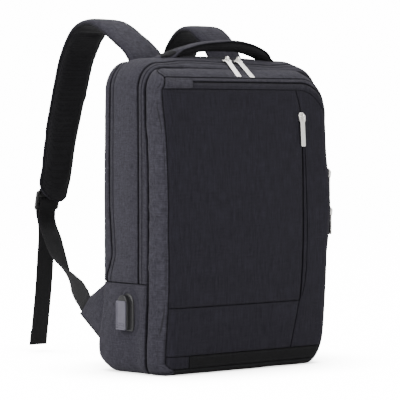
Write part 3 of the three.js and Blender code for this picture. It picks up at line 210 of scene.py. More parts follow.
def body_section(from_back):
    at = np.clip(from_back / MAIN_DEPTH, 0, 1)
    width, top, run, rise, lift = (pchip(at, BODY[:, 0], BODY[:, k]) for k in range(1, 6))
    return (
        width * HALF,
        top * BODY_HEIGHT - CROWN,
        run * BODY_WIDTH,
        rise * BODY_HEIGHT,
        lift * BODY_HEIGHT,
    )


def body_y(from_back, z):
    return BACK_Y - from_back - GROOVE_BOW * np.clip(from_back / MAIN_DEPTH, 0, 1) * swell_at(z)


def arch_surface(t, from_back):
    """Points and outward directions along the arch, t millimetres from its left foot."""
    t, from_back = np.broadcast_arrays(np.asarray(t, float), np.asarray(from_back, float))
    half, top, run, rise, _ = body_section(from_back)
    sign = np.where(t > ARCH / 2, -1.0, 1.0)
    s = np.where(t > ARCH / 2, ARCH - t, t)
    foot = LOWER_PANEL + SEAM_GAP
    angle = QUARTER * np.clip((s - SIDE_RUN) / CORNER_ARC, 0, 1)
    share = np.clip((s - SIDE_RUN - CORNER_ARC) / TOP_RUN, 0, 1)
    z = np.where(s < SIDE_RUN, lerp(foot, top - rise, s / SIDE_RUN), top - rise + rise * np.sin(angle))
    z = z + CROWN * np.sin(QUARTER * share)
    swell = SIDE_SWELL * swell_at(z) * np.cos(angle)
    x = -half + run - (run + swell) * np.cos(angle) + (half - run) * share
    out = unit(stack(-np.cos(angle) / run, 0, np.sin(angle) / rise))
    out = np.where((s < SIDE_RUN)[..., None], np.array([-1.0, 0, 0]), out)
    out[..., 0] *= sign
    return slumped(stack(x * sign, body_y(from_back, z), z)), out


def tray_surface(t, from_back):
    """The same for the lower panel, from its left seam round the base to its right seam."""
    t, from_back = np.broadcast_arrays(np.asarray(t, float), np.asarray(from_back, float))
    half, _, _, _, floor = body_section(from_back)
    sign = np.where(t > TRAY / 2, -1.0, 1.0)
    s = np.where(t > TRAY / 2, TRAY - t, t)
    angle = QUARTER * np.clip((s - LEG_RUN) / FOOT_ARC, 0, 1)
    share = np.clip((s - LEG_RUN - FOOT_ARC) / BASE_RUN, 0, 1)
    rise = FOOT_RISE - floor
    z = np.where(s < LEG_RUN, LOWER_PANEL - s, FOOT_RISE - rise * np.sin(angle))
    swell = SIDE_SWELL * swell_at(z) * np.cos(angle)
    x = -half + FOOT_RUN - (FOOT_RUN + swell) * np.cos(angle) + (half - FOOT_RUN) * share
    out = unit(stack(-np.cos(angle) / FOOT_RUN, 0, -np.sin(angle) / rise))
    out = np.where((s < LEG_RUN)[..., None], np.array([-1.0, 0, 0]), out)
    out[..., 0] *= sign
    return slumped(stack(x * sign, body_y(from_back, z), z)), out


# The pouch's surface

def rounding_at(x, z):
    """How far a point of the face is from its flat part (0) to the pouch's rim (1)."""
    ax = np.abs(x) * POUCH_HALF / (POUCH_HALF + POUCH_SWELL * swell_at(z))
    side = 1 - (POUCH_HALF - ax) / SIDE_EDGE[0]
    top = 1 - (POUCH_HEIGHT - z) / TOP_EDGE[0]
    foot = 1 - z / FOOT_EDGE[0]
    share = np.clip(np.maximum(np.maximum(side, top), foot), 0, 1)
    plain = (share <= 0) | (side >= np.maximum(top, foot))
    back = np.where(plain, SIDE_EDGE[1], np.where(top > foot, TOP_EDGE[1], FOOT_EDGE[1]))
    power = np.where(plain, SIDE_EDGE[2], np.where(top > foot, TOP_EDGE[2], FOOT_EDGE[2]))
    for corner, edge, is_top in ((CORNER_TOP, TOP_EDGE, True), (CORNER_FOOT, FOOT_EDGE, False)):
        run = np.where(x < 0, corner["left"][0], corner["right"][0])
        rise = np.where(x < 0, corner["left"][1], corner["right"][1])
        dx = ax - (POUCH_HALF - run)
        dz = z - (POUCH_HEIGHT - rise) if is_top else rise - z
        inside = (dx > 0) & (dz > 0)
        low, high = np.zeros_like(ax), np.ones_like(ax)
        for _ in range(24):
            middle = (low + high) / 2
            u = dx / np.maximum(run - SIDE_EDGE[0] * (1 - middle), 1e-3)
            v = dz / np.maximum(rise - edge[0] * (1 - middle), 1e-3)
            far = u * u + v * v > 1
            low, high = np.where(far, middle, low), np.where(far, high, middle)
        turn = (v / np.maximum(np.hypot(u, v), 1e-9)) ** 2
        share = np.where(inside, low, share)
        back = np.where(inside, lerp(SIDE_EDGE[1], edge[1], turn), back)
        power = np.where(inside, lerp(SIDE_EDGE[2], edge[2], turn), power)
    return share, back, power


def face_y(x, z):
    x, z = np.broadcast_arrays(np.asarray(x, float), np.asarray(z, float))
    share, back, power = rounding_at(x, z)
    across = np.clip(np.abs(x) / POUCH_HALF, 0, 1)
    dome = (GROOVE_BOW + FRONT_DOME * (1 - across**2)) * swell_at(z)
    drop = 1 - (1 - share**power) ** (1 / power)
    return FRONT_Y - dome * (1 - share) - GROOVE_BOW * swell_at(z) * share + back * drop


def face_surface(x, z):
    x, z = np.broadcast_arrays(np.asarray(x, float), np.asarray(z, float))
    step = 0.5
    slope_x = (face_y(x + step, z) - face_y(x - step, z)) / (2 * step)
    slope_z = (face_y(x, z + step) - face_y(x, z - step)) / (2 * step)
    return leaned(stack(x, face_y(x, z), z)), unit(stack(slope_x, -1, slope_z))


# Rim of the pouch, clockwise from the foot of its left side: (part, length)
LEFT_LOW, LEFT_HIGH = CORNER_FOOT["left"][1], POUCH_HEIGHT - CORNER_TOP["left"][1]
RIGHT_LOW, RIGHT_HIGH = CORNER_FOOT["right"][1], POUCH_HEIGHT - CORNER_TOP["right"][1]
RIM = [
    ("left", LEFT_HIGH - LEFT_LOW),
    ("top_left", 44.0),
    ("top", 2 * POUCH_HALF - CORNER_TOP["left"][0] - CORNER_TOP["right"][0]),
    ("top_right", 79.0),
    ("right", RIGHT_HIGH - BAND_FOOT),
    ("low", BAND_FOOT - RIGHT_LOW),
    ("foot_right", 57.0),
    ("foot", 2 * POUCH_HALF - CORNER_FOOT["left"][0] - CORNER_FOOT["right"][0]),
    ("foot_left", 21.0),
]
TURN_X = -135.5
RIM_START = dict(zip([n for n, _ in RIM], np.cumsum([0] + [l for _, l in RIM])[:-1]))
RIM_LENGTH = sum(l for _, l in RIM)


def left_inset(z):
    return pchip(np.clip(z / POUCH_HEIGHT, 0, 1), LEFT_SEAM[:, 0], LEFT_SEAM[:, 1])


def seam_turn_x(z):
    """The left seam near the top, where it turns inwards between the face's and the band's edges."""
    seam = left_inset(LEFT_HIGH) - POUCH_HALF - POUCH_SWELL * swell_at(LEFT_HIGH)
    return lerp(seam, TURN_X, np.clip((z - LEFT_HIGH) / (POUCH_HEIGHT - BAND_TOP - LEFT_HIGH), 0, 1))


def rim_corner(sign, up, angle, corner):
    run, rise = corner
    z = (POUCH_HEIGHT - rise if up > 0 else rise) + up * rise * np.sin(angle)
    swell = POUCH_SWELL * swell_at(z) * np.cos(angle)
    x = sign * (POUCH_HALF - run + (run + swell) * np.cos(angle))
    out = unit(stack(sign * np.cos(angle) / run, 0, up * np.sin(angle) / rise))
    return x, z, out


def rim_at(t):
    """Rim points, outward directions and the gusset's front edge, t millimetres round the rim."""
    t = np.asarray(t, float) % RIM_LENGTH
    x, z, girth = np.zeros_like(t), np.zeros_like(t), np.zeros_like(t)
    out = np.zeros(t.shape + (3,))
    for part, length in RIM:
        start = RIM_START[part]
        m = (t >= start) & (t <= start + length)
        a = (t[m] - start) / length
        if part == "left":
            z[m] = lerp(LEFT_LOW, LEFT_HIGH, a)
            x[m] = -(POUCH_HALF + POUCH_SWELL * swell_at(z[m]))
            out[m] = (-1, 0, 0)
            girth[m] = left_inset(z[m])
        elif part == "top_left":
            x[m], z[m], out[m] = rim_corner(-1, 1, QUARTER * a, CORNER_TOP["left"])
            way = np.linspace(0.2, 46, 460)[:, None]
            px, pz = x[m] - out[m][:, 0] * way, z[m] - out[m][:, 2] * way
            on_face = (px > seam_turn_x(pz)) & (pz < POUCH_HEIGHT - BAND_TOP)
            girth[m] = way[np.argmax(on_face, 0), 0]
        elif part == "top":
            first, last = CORNER_TOP["left"][0] - POUCH_HALF, POUCH_HALF - CORNER_TOP["right"][0]
            x[m], z[m], out[m], girth[m] = lerp(first, last, a), POUCH_HEIGHT, (0, 0, 1), BAND_TOP
        elif part == "top_right":
            x[m], z[m], out[m] = rim_corner(1, 1, QUARTER * (1 - a), CORNER_TOP["right"])
            girth[m] = lerp(-BAND_DEPTH, BAND_TOP, np.sin(QUARTER * (1 - a)))
        elif part in ("right", "low"):
            high, low = (RIGHT_HIGH, BAND_FOOT) if part == "right" else (BAND_FOOT, RIGHT_LOW)
            z[m] = lerp(high, low, a)
            x[m] = POUCH_HALF + POUCH_SWELL * swell_at(z[m])
            out[m] = (1, 0, 0)
            girth[m] = lerp(-BAND_DEPTH, BAND_SIDE, smooth((BAND_FOOT + 1 - z[m]) / 3))
        elif part == "foot_right":
            x[m], z[m], out[m] = rim_corner(1, -1, QUARTER * a, CORNER_FOOT["right"])
            girth[m] = lerp(BAND_SIDE, HEM, np.sin(QUARTER * a))
        elif part == "foot":
            first, last = POUCH_HALF - CORNER_FOOT["right"][0], CORNER_FOOT["left"][0] - POUCH_HALF
            x[m], z[m], out[m], girth[m] = lerp(first, last, a), 0, (0, 0, -1), HEM
        else:
            x[m], z[m], out[m] = rim_corner(-1, -1, QUARTER * (1 - a), CORNER_FOOT["left"])
            girth[m] = lerp(left_inset(LEFT_LOW), HEM, np.sin(QUARTER * (1 - a)))
    return x, z, out, girth


def rim_y(x, z, out):
    return face_y(x - out[..., 0] * 1e-3, z - out[..., 2] * 1e-3)


def girth_surface(t, girth):
    """Points this far in from the rim on the face, or, below zero, back from it on the wall."""
    t, girth = np.broadcast_arrays(np.asarray(t, float), np.asarray(girth, float))
    x, z, out, _ = rim_at(t)
    wall = leaned(stack(x, rim_y(x, z, out) - girth, z))
    inward = np.maximum(girth, 0)
    on_face, face_out = face_surface(x - out[..., 0] * inward, z - out[..., 2] * inward)
    back = (girth <= 0)[..., None]
    return np.where(back, wall, on_face), np.where(back, out, face_out)


def groove_girth(t):
    x, z, out, _ = rim_at(t)
    return rim_y(x, z, out) - (groove_y(x, z) - 0.6)


def band_rim(t):
    """The rim behind the band, run on straight at the left to the face's seam."""
    x, z, out, girth = rim_at(np.maximum(t, RIM_START["top"]))
    return x - np.maximum(RIM_START["top"] - t, 0), z, out, girth


def band_front(t):
    """Front edge of the cloth band over the pouch's zip, on the face."""
    x = band_rim(t)[0]
    a = lambda part: np.clip((t - RIM_START[part]) / dict(RIM)[part], 0, 1)
    first, last = CORNER_TOP["left"][0] - POUCH_HALF, POUCH_HALF - CORNER_TOP["right"][0]
    end = POUCH_HALF - BAND_SIDE - BAND_RUN
    spread = (first - seam_turn_x(TOP_SEAM)) / (first - TURN_X)
    fx = np.where(t >= RIM_START["top"], lerp(first, end, (x - first) / (last - first)),
                  first - (first - x) * spread)
    fz = np.full_like(fx, TOP_SEAM)
    corner = t >= RIM_START["top_right"]
    angle = QUARTER * (1 - a("top_right"))
    swell = POUCH_SWELL * swell_at(TOP_SEAM - BAND_RISE) * np.cos(angle)
    fx = np.where(corner, end + BAND_RUN * np.cos(angle) + swell, fx)
    fz = np.where(corner, TOP_SEAM - BAND_RISE * (1 - np.sin(angle)), fz)
    down = t >= RIM_START["right"]
    zr = lerp(TOP_SEAM - BAND_RISE, BAND_FOOT, a("right"))
    fx = np.where(down, POUCH_HALF + POUCH_SWELL * swell_at(zr) - BAND_SIDE, fx)
    return fx, np.where(down, zr, fz)


def band_path(t):
    """Rear end and front end of the band's way over the rim, and its length on each face."""
    x, z, out, girth = band_rim(t)
    rear = girth + SEAM_GAP
    fx, fz = band_front(t)
    inward = np.maximum(rear, 0)
    sx, sz = x - out[..., 0] * inward, z - out[..., 2] * inward
    return x, z, out, rear, (sx, sz), (fx, fz), np.maximum(-rear, 0), np.hypot(fx - sx, fz - sz)


def band_length(t):
    return band_path(t)[6] + band_path(t)[7]


def band_point(t, s):
    """The band's surface, s millimetres forwards from its rear edge."""
    t, s = np.broadcast_arrays(np.asarray(t, float), np.asarray(s, float))
    x, z, out, rear, start, end, wall, face = band_path(t)
    part = np.clip((s - wall) / np.maximum(face, 1e-6), 0, 1)
    back = leaned(stack(x, rim_y(x, z, out) - (rear + s), z))
    front, face_out = face_surface(lerp(start[0], end[0], part), lerp(start[1], end[1], part))
    on_wall = (s < wall)[..., None]
    return np.where(on_wall, back, front), np.where(on_wall, out, face_out)


def slit_at(z):
    at = np.clip((z - POCKET_SEAM) / (TOP_SEAM - POCKET_SEAM), 0, 1)
    left = POCKET_X + pchip(at, POCKET_SLIT[:, 0], POCKET_SLIT[:, 1])
    return left, left + FLAP * pchip(at, POCKET_SLIT[:, 0], POCKET_SLIT[:, 2])


def low_seam_x(z):
    share = (POCKET_SEAM - z) / (POCKET_SEAM - BASE_SEAM)
    return slit_at(np.asarray(POCKET_SEAM))[0] - 13 * np.clip(share, 0, 1)


# Meshes from grids of points

def make_mesh(name, points, faces, flat=None, edge=None):
    mesh = bpy.data.meshes.new(name)
    mesh.vertices.add(len(points))
    mesh.vertices.foreach_set("co", (np.asarray(points, np.float32) * MM).ravel())
    faces = np.asarray(faces, np.int32)
    count, sides = faces.shape
    mesh.loops.add(count * sides)
    mesh.polygons.add(count)
    mesh.loops.foreach_set("vertex_index", faces.ravel())
    mesh.polygons.foreach_set("loop_start", np.arange(0, count * sides, sides, dtype=np.int32))
    mesh.polygons.foreach_set("use_smooth", np.ones(count, bool))
    if flat is not None:
        layer = mesh.uv_layers.new(name="Flat")
        uv = np.asarray(flat, np.float32).reshape(-1, 2)[faces.ravel()] * MM
        layer.data.foreach_set("uv", uv.ravel())
    if edge is not None:
        attribute = mesh.attributes.new("Edge", "FLOAT_VECTOR", "POINT")
        values = np.zeros((len(points), 3), np.float32)
        values[:, :2] = np.asarray(edge, np.float32).reshape(-1, 2)
        attribute.data.foreach_set("vector", values.ravel())
    mesh.update()
    mesh.validate()
    obj = bpy.data.objects.new(name, mesh)
    bpy.context.scene.collection.objects.link(obj)
    return obj


def grid_faces(rows, columns, loop_rows=False, loop_columns=False):
    i = np.arange(rows if loop_rows else rows - 1)
    j = np.arange(columns if loop_columns else columns - 1)
    i, j = np.meshgrid(i, j, indexing="ij")
    i2, j2 = (i + 1) % rows, (j + 1) % columns
    quads = [i * columns + j, i2 * columns + j, i2 * columns + j2, i * columns + j2]
    return np.stack(quads, -1).reshape(-1, 4)


def grid_normals(p, loop_rows=False):
    if loop_rows:
        du = np.roll(p, -1, 0) - np.roll(p, 1, 0)
    else:
        du = np.gradient(p, axis=0)
    return unit(np.cross(du, np.gradient(p, axis=1)))


def grid_object(name, points, out=None, flat=None, edge=None, loop_rows=False, loop_columns=False):
    rows, columns = points.shape[:2]
    faces = grid_faces(rows, columns, loop_rows, loop_columns)
    if out is not None:
        n = grid_normals(points, loop_rows)
        if np.nanmean(np.sum(n * out, -1)) < 0:
            faces = faces[:, ::-1]
    return make_mesh(name, points.reshape(-1, 3), faces, flat, edge)


class Rows:
    """Places along one way over a sewn panel, closer where its edges roll in to the seams."""

    def __init__(self, count, roll=(2, 2), wall=(3, 3), steps=4):
        rows = []
        for i in range(steps):
            phi = QUARTER * (1 - i / steps)
            rows.append((roll[0] * (1 - math.sin(phi)), roll[0] * (1 - math.cos(phi)), 0))
        if wall[0]:
            rows.insert(0, (0, roll[0] + wall[0], 0))
        middle = [(i / count, 0, 1) for i in range(count + 1)]
        end = []
        for i in range(steps):
            phi = QUARTER * (1 - i / steps)
            end.append((roll[1] * (1 - math.sin(phi)), roll[1] * (1 - math.cos(phi)), 2))
        if wall[1]:
            end.insert(0, (0, roll[1] + wall[1], 2))
        rows = np.array(rows + middle + end[::-1], float)
        self.at, self.inset, self.kind, self.roll = rows[:, 0], rows[:, 1], rows[:, 2], roll

    def place(self, start, end):
        start, end = np.asarray(start, float)[..., None], np.asarray(end, float)[..., None]
        squeeze = np.minimum(1, (end - start) / (2.2 * max(sum(self.roll), 1e-6)))
        first, last = start + self.roll[0] * squeeze, end - self.roll[1] * squeeze
        middle = lerp(first, last, self.at)
        out = np.where(self.kind == 1, middle, start + self.at * squeeze)
        return np.where(self.kind == 2, end - self.at * squeeze, out)


def panel(name, surface, u_rows, v_rows, u_ends, v_ends, puff=0.0, reach=10.0, relief=None,
          u_first=True, loop=False, flat=None):
    """A sewn panel over surface(u, v). The ends of one way may depend on the other's places."""
    if u_first:
        u = u_rows.place(*[np.asarray(e, float) for e in u_ends])
        v = v_rows.place(*[e(u) if callable(e) else np.full_like(u, e) for e in v_ends])
        u = np.broadcast_to(u[:, None], v.shape)
    else:
        v = v_rows.place(*[np.asarray(e, float) for e in v_ends])
        u = u_rows.place(*[e(v) if callable(e) else np.full_like(v, e) for e in u_ends])
        v = np.broadcast_to(v[:, None], u.shape)
        u, v = u.T, v.T
    p, out = surface(u, v)
    inset_u = np.zeros_like(u_rows.inset) if loop else u_rows.inset
    cap = max(inset_u.max(), v_rows.inset.max())
    inset = np.minimum(inset_u[:, None] + v_rows.inset[None, :], cap)
    du = np.minimum(u - u.min(0), u.max(0) - u) if not loop else np.full_like(u, 99.0)
    dv = np.minimum(v - v.min(1, keepdims=True), v.max(1, keepdims=True) - v)
    fill = (1 - np.exp(-du / reach)) * (1 - np.exp(-dv / reach))
    p = p - out * inset[..., None]
    normal = grid_normals(p, loop)
    normal *= np.sign(np.sum(normal * out, -1, keepdims=True) + 1e-9)
    shown = np.clip(1 - inset / 1.5, 0, 1)
    lift = puff * fill
    if relief is not None:
        lift = lift + relief(u, v, du, dv)
    mix = unit(lerp(out, normal, 0.5))
    p = p + mix * (lift * shown)[..., None]
    uv = stack(u, v, 0)[..., :2] if flat is None else flat(u, v)
    edge = np.stack([du, dv], -1)
    if loop:
        p = np.concatenate([p, p[:1]])
        out = np.concatenate([out, out[:1]])
        uv = np.concatenate([uv, uv[:1] + np.array([RIM_LENGTH, 0])])
        edge = np.concatenate([edge, edge[:1]])
    return grid_object(name, p, out, uv, edge)


def sweep(name, centre, across, out, profile, flat_width=None, closed=True, caps=True):
    """A form swept along frames: profile holds (across, out) points round the section."""
    profile = np.asarray(profile, float)
    if profile.ndim == 2:
        profile = np.broadcast_to(profile, (len(centre),) + profile.shape)
    points = (
        centre[:, None]
        + across[:, None] * profile[..., 0:1]
        + out[:, None] * profile[..., 1:2]
    )
    rows, columns = points.shape[:2]
    faces = grid_faces(rows, columns, False, closed)
    steps = np.linalg.norm(np.diff(centre, axis=0), axis=-1)
    along = np.concatenate([[0], np.cumsum(steps)])
    uv = np.stack(np.broadcast_arrays(profile[..., 0], along[:, None]), -1)
    flat_points = points.reshape(-1, 3)
    obj = make_mesh(name, flat_points, faces, uv)
    if caps:
        bm = bmesh.new()
        bm.from_mesh(obj.data)
        bmesh.ops.holes_fill(bm, edges=[e for e in bm.edges if e.is_boundary], sides=0)
        bmesh.ops.recalc_face_normals(bm, faces=bm.faces)
        for f in bm.faces:
            f.smooth = True
        bm.to_mesh(obj.data)
        bm.free()
    return obj


def rounded(width, height, radius, steps=4, power=2.0):
    """Points round a rectangle with rounded corners, counter-clockwise, about the origin."""
    points = []
    for cx, cy, first in ((1, 1, 0), (-1, 1, 1), (-1, -1, 2), (1, -1, 3)):
        for i in range(steps + 1):
            a = QUARTER * (first + i / steps)
            points.append((cx * (width / 2 - radius) + radius * math.cos(a),
                           cy * (height / 2 - radius) + radius * math.sin(a)))
    return np.array(points)


def spline(knots, count):
    """A smooth curve through knots, evenly spaced; extra columns of the knots ride along."""
    k = np.asarray(knots, float)
    chord = np.concatenate([[0], np.cumsum(np.linalg.norm(np.diff(k[:, :3], axis=0), axis=1))])
    slope = np.zeros_like(k)
    h = np.diff(chord)[:, None]
    d = np.diff(k, axis=0) / h
    slope[1:-1] = (d[:-1] * h[1:] + d[1:] * h[:-1]) / (h[1:] + h[:-1])
    slope[0], slope[-1] = d[0], d[-1]
    s = np.linspace(0, chord[-1], count)
    i = np.clip(np.searchsorted(chord, s) - 1, 0, len(h) - 1)
    t = ((s - chord[i]) / h[i, 0])[:, None]
    hi = h[i]
    return (
        k[i] * (1 + 2 * t) * (1 - t) ** 2 + slope[i] * hi * t * (1 - t) ** 2
        + k[i + 1] * t * t * (3 - 2 * t) + slope[i + 1] * hi * t * t * (t - 1)
    )


def joined(name, objects):
    """One object from several, with their materials kept."""
    first = objects[0]
    for o in bpy.context.selected_objects:
        o.select_set(False)
    for o in objects:
        o.select_set(True)
    bpy.context.view_layer.objects.active = first
    bpy.ops.object.join()
    first.name = name
    first.select_set(False)
    return first


def apply_modifiers(obj):
    dg = bpy.context.evaluated_depsgraph_get()
    mesh = bpy.data.meshes.new_from_object(obj.evaluated_get(dg))
    obj.modifiers.clear()
    obj.data = mesh


def inflate(obj, voxel, cap, pressure=4.0, frames=20):
    """Remeshes a closed form and fills it out as cloth under pressure, moving no point far."""
    remesh = obj.modifiers.new("even", "REMESH")
    remesh.mode = "VOXEL"
    remesh.voxel_size = voxel
    remesh.use_smooth_shade = True
    apply_modifiers(obj)
    start = np.zeros(len(obj.data.vertices) * 3)
    obj.data.vertices.foreach_get("co", start)
    cloth = obj.modifiers.new("fill", "CLOTH")
    cloth.settings.quality = 6
    cloth.settings.use_pressure = True
    cloth.settings.uniform_pressure_force = pressure
    cloth.settings.effector_weights.gravity = 0
    cloth.settings.tension_stiffness = 25
    cloth.settings.compression_stiffness = 25
    cloth.settings.bending_stiffness = 0.6
    cloth.point_cache.frame_end = frames
    for f in range(1, frames + 1):
        bpy.context.scene.frame_set(f)
    apply_modifiers(obj)
    bpy.context.scene.frame_set(1)
    end = np.zeros_like(start)
    obj.data.vertices.foreach_get("co", end)
    move = (end - start).reshape(-1, 3)
    move -= move.mean(0)
    far = np.linalg.norm(move, axis=1, keepdims=True)
    move *= np.minimum(1, cap / np.maximum(far, 1e-9))
    obj.data.vertices.foreach_set("co", (start.reshape(-1, 3) + move).ravel())
    obj.data.update()
    soft = obj.modifiers.new("soft", "SMOOTH")
    soft.factor = 0.5
    soft.iterations = 4
    sub = obj.modifiers.new("fine", "SUBSURF")
    sub.levels = sub.render_levels = 1
    apply_modifiers(obj)
    for f in obj.data.polygons:
        f.use_smooth = True
    return obj


# Materials

SOCKETS = {
    "specular": "Specular IOR Level",
    "sheen": "Sheen Weight",
    "sheen_roughness": "Sheen Roughness",
    "metallic": "Metallic",
}


class Nodes:
    """Short words for building one material's nodes."""

    def __init__(self, name):
        self.material = bpy.data.materials.new(name)
        self.material.use_nodes = True
        self.tree = self.material.node_tree
        self.shader = self.tree.nodes["Principled BSDF"]

    def add(self, kind, values=None, **settings):
        node = self.tree.nodes.new(kind)
        for key, value in settings.items():
            setattr(node, key, value)
        for key, value in (values or {}).items():
            self.set(node.inputs[key], value)
        return node

    def set(self, socket, value):
        if isinstance(value, bpy.types.NodeSocket):
            self.tree.links.new(value, socket)
        else:
            socket.default_value = value

    def math(self, operation, a, b=0.0, c=0.0):
        values = {0: a, 1: b, 2: c} if operation in ("MULTIPLY_ADD", "SMOOTH_MIN") else {0: a, 1: b}
        return self.add("ShaderNodeMath", values, operation=operation).outputs[0]

    def vector(self, operation, a, b):
        return self.add("ShaderNodeVectorMath", {0: a, 1: b}, operation=operation).outputs[0]

    def flat(self):
        """The panel's own coordinates, in millimetres."""
        uv = self.add("ShaderNodeUVMap", uv_map="Flat").outputs[0]
        return self.vector("MULTIPLY", uv, (1000, 1000, 1000))

    def solid(self):
        """Object coordinates, in millimetres."""
        at = self.add("ShaderNodeTexCoord").outputs["Object"]
        return self.vector("MULTIPLY", at, (1000, 1000, 1000))

    def noise(self, at, scale, detail=2.0, rough=0.5):
        values = {"Vector": at, "Scale": scale, "Detail": detail, "Roughness": rough}
        return self.add("ShaderNodeTexNoise", values).outputs["Fac"]

    def ramp(self, factor, low, high, a=0.0, b=1.0):
        values = {"Value": factor, "From Min": low, "From Max": high, "To Min": a, "To Max": b}
        return self.add("ShaderNodeMapRange", values).outputs[0]

    def mix(self, factor, a, b):
        node = self.add("ShaderNodeMix", data_type="RGBA")
        self.set(node.inputs[0], factor)
        self.set(node.inputs[6], a)
        self.set(node.inputs[7], b)
        return node.outputs[2]

    def bump(self, height, distance, strength=1.0, normal=None):
        values = {"Height": height, "Distance": distance, "Strength": strength}
        if normal is not None:
            values["Normal"] = normal
        return self.add("ShaderNodeBump", values).outputs[0]

    def out(self, color=None, roughness=None, normal=None, **plain):
        if color is not None:
            self.set(self.shader.inputs["Base Color"], color)
        if roughness is not None:
            self.set(self.shader.inputs["Roughness"], roughness)
        if normal is not None:
            self.set(self.shader.inputs["Normal"], normal)
        for key, value in plain.items():
            self.shader.inputs[SOCKETS[key]].default_value = value
        return self.material


def grey(value, blue=0.0):
    """A linear colour from a display grey of 0 to 255, a little blue."""
    def linear(c):
        c = c / 255
        return c / 12.92 if c <= 0.04045 else ((c + 0.055) / 1.055) ** 2.4
    return (linear(value + 0.12 * blue), linear(value - 0.12 * blue), linear(value + blue), 1.0)


def heather(name, dark, light, yarn=0.72, streak=(0.55, 0.07), cross=0.5, contrast=1.0,
            flat=True, stitches=True, relief=1.0):
    """Plain woven cloth whose yarns mix two greys; streak is the mix's frequency across and
    along the upright yarns, cross the share of the level yarns."""
    n = Nodes(name)
    at = n.flat() if flat else n.solid()
    xyz = n.add("ShaderNodeSeparateXYZ", {0: at})
    x, y = xyz.outputs[0], xyz.outputs[1] if flat else xyz.outputs[2]
    upright = n.noise(n.vector("MULTIPLY", at, (streak[0], streak[1], streak[0])), 1.0, 3.0, 0.65)
    level = n.noise(n.vector("MULTIPLY", at, (streak[1], streak[0], streak[1])), 1.0, 3.0, 0.65)
    both = n.math("ADD", n.math("MULTIPLY", upright, 1 - cross), n.math("MULTIPLY", level, cross))
    fine = n.noise(at, 1.1, 2.0, 0.6)
    yarns = n.math("ADD", n.math("MULTIPLY", both, 0.75), n.math("MULTIPLY", fine, 0.25))
    slub = n.noise(n.vector("MULTIPLY", at, (0.22, streak[1] * 0.5, 0.22)), 1.0, 3.0, 0.7)
    yarns = n.math("MULTIPLY_ADD", n.math("SUBTRACT", slub, 0.5), 0.16, yarns)
    spread = 0.16 / contrast
    share = n.ramp(yarns, 0.5 - spread, 0.5 + spread)
    color = n.mix(share, dark, light)
    broad = n.noise(at, 0.02, 2.0)
    color = n.mix(n.ramp(broad, 0.3, 0.7, 0.0, 0.16), color, dark)
    wave = 2 * math.pi / yarn
    warp = n.math("SINE", n.math("MULTIPLY", x, wave))
    weft = n.math("SINE", n.math("MULTIPLY", y, wave))
    weave = n.math("MULTIPLY", warp, weft)
    color = n.mix(n.ramp(weave, -1.0, 1.0, 0.28, 0.0), color, (0.004, 0.004, 0.005, 1))
    height = n.math("ADD", n.math("MULTIPLY", weave, 0.5), n.math("MULTIPLY", share, 0.6))
    if stitches and flat:
        edge = n.add("ShaderNodeAttribute", attribute_name="Edge").outputs["Vector"]
        far = n.add("ShaderNodeSeparateXYZ", {0: edge})
        line = None
        for away, other, along in ((far.outputs[0], far.outputs[1], y), (far.outputs[1], far.outputs[0], x)):
            on = n.math("LESS_THAN", n.math("ABSOLUTE", n.math("SUBTRACT", away, 2.6)), 0.34)
            dash = n.math("LESS_THAN", n.math("FRACT", n.math("DIVIDE", along, 2.8)), 0.68)
            clear = n.math("GREATER_THAN", other, 2.3)
            one = n.math("MULTIPLY", n.math("MULTIPLY", on, dash), clear)
            line = one if line is None else n.math("MAXIMUM", line, one)
        near = n.math("MINIMUM", far.outputs[0], far.outputs[1])
        dent = n.ramp(n.math("ABSOLUTE", n.math("SUBTRACT", near, 2.6)), 0.0, 1.3, -1.6, 0.0)
        height = n.math("ADD", height, dent)
        height = n.math("ADD", height, n.math("MULTIPLY", line, 1.4))
        # Painted shade: within 1.3 mm of a panel's edge the cloth is mixed towards near-black, standing in for the
        # shade in the seams' grooves.
        color = n.mix(n.ramp(near, 0.0, 1.3, 0.6, 0.0), color, (0.002, 0.002, 0.003, 1))
        color = n.mix(n.math("MULTIPLY", line, 0.7), color, grey(30, 3))
    rough = n.ramp(share, 0.0, 1.0, 0.96, 0.86)
    normal = n.bump(height, 0.00022 * relief, 0.8)
    return n.out(color, rough, normal, specular=0.12, sheen=0.03, sheen_roughness=0.4)


def spacer_mesh(name, base, hole):
    """Padded knit with a fine pattern of round openings."""
    n = Nodes(name)
    at = n.solid()
    cells = n.add("ShaderNodeTexVoronoi", {"Vector": at, "Scale": 0.42, "Randomness": 0.18})
    dot = n.ramp(cells.outputs["Distance"], 0.16, 0.42)
    broad = n.noise(at, 0.03, 2.0)
    color = n.mix(dot, hole, base)
    color = n.mix(n.ramp(broad, 0.35, 0.65, 0.0, 0.3), color, hole)
    height = n.math("ADD", dot, n.math("MULTIPLY", n.noise(at, 2.2), 0.35))
    return n.out(color, n.ramp(dot, 0, 1, 1.0, 0.88), n.bump(height, 0.0005, 0.7),
                 specular=0.1, sheen=0.02, sheen_roughness=0.5)


def ribbed_web(name, dark, light):
    """Webbing: ribs along it, crossed by fine picks."""
    n = Nodes(name)
    at = n.flat()
    xyz = n.add("ShaderNodeSeparateXYZ", {0: at})
    x, y = xyz.outputs[0], xyz.outputs[1]
    rib = n.math("SINE", n.math("MULTIPLY", x, 2 * math.pi / 1.7))
    skew = n.math("ADD", n.math("MULTIPLY", y, 2 * math.pi / 0.95), n.math("MULTIPLY", rib, 1.1))
    pick = n.math("SINE", skew)
    share = n.ramp(n.math("ADD", rib, n.math("MULTIPLY", pick, 0.8)), -1.8, 1.8)
    share = n.math("MULTIPLY", share, n.ramp(n.noise(at, 0.4, 3.0), 0.3, 0.7, 0.6, 1.0))
    height = n.math("ADD", n.math("MULTIPLY", rib, 0.5), n.math("MULTIPLY", pick, 0.35))
    return n.out(n.mix(share, dark, light), n.ramp(share, 0, 1, 0.9, 0.7),
                 n.bump(height, 0.0003, 0.8), specular=0.2)


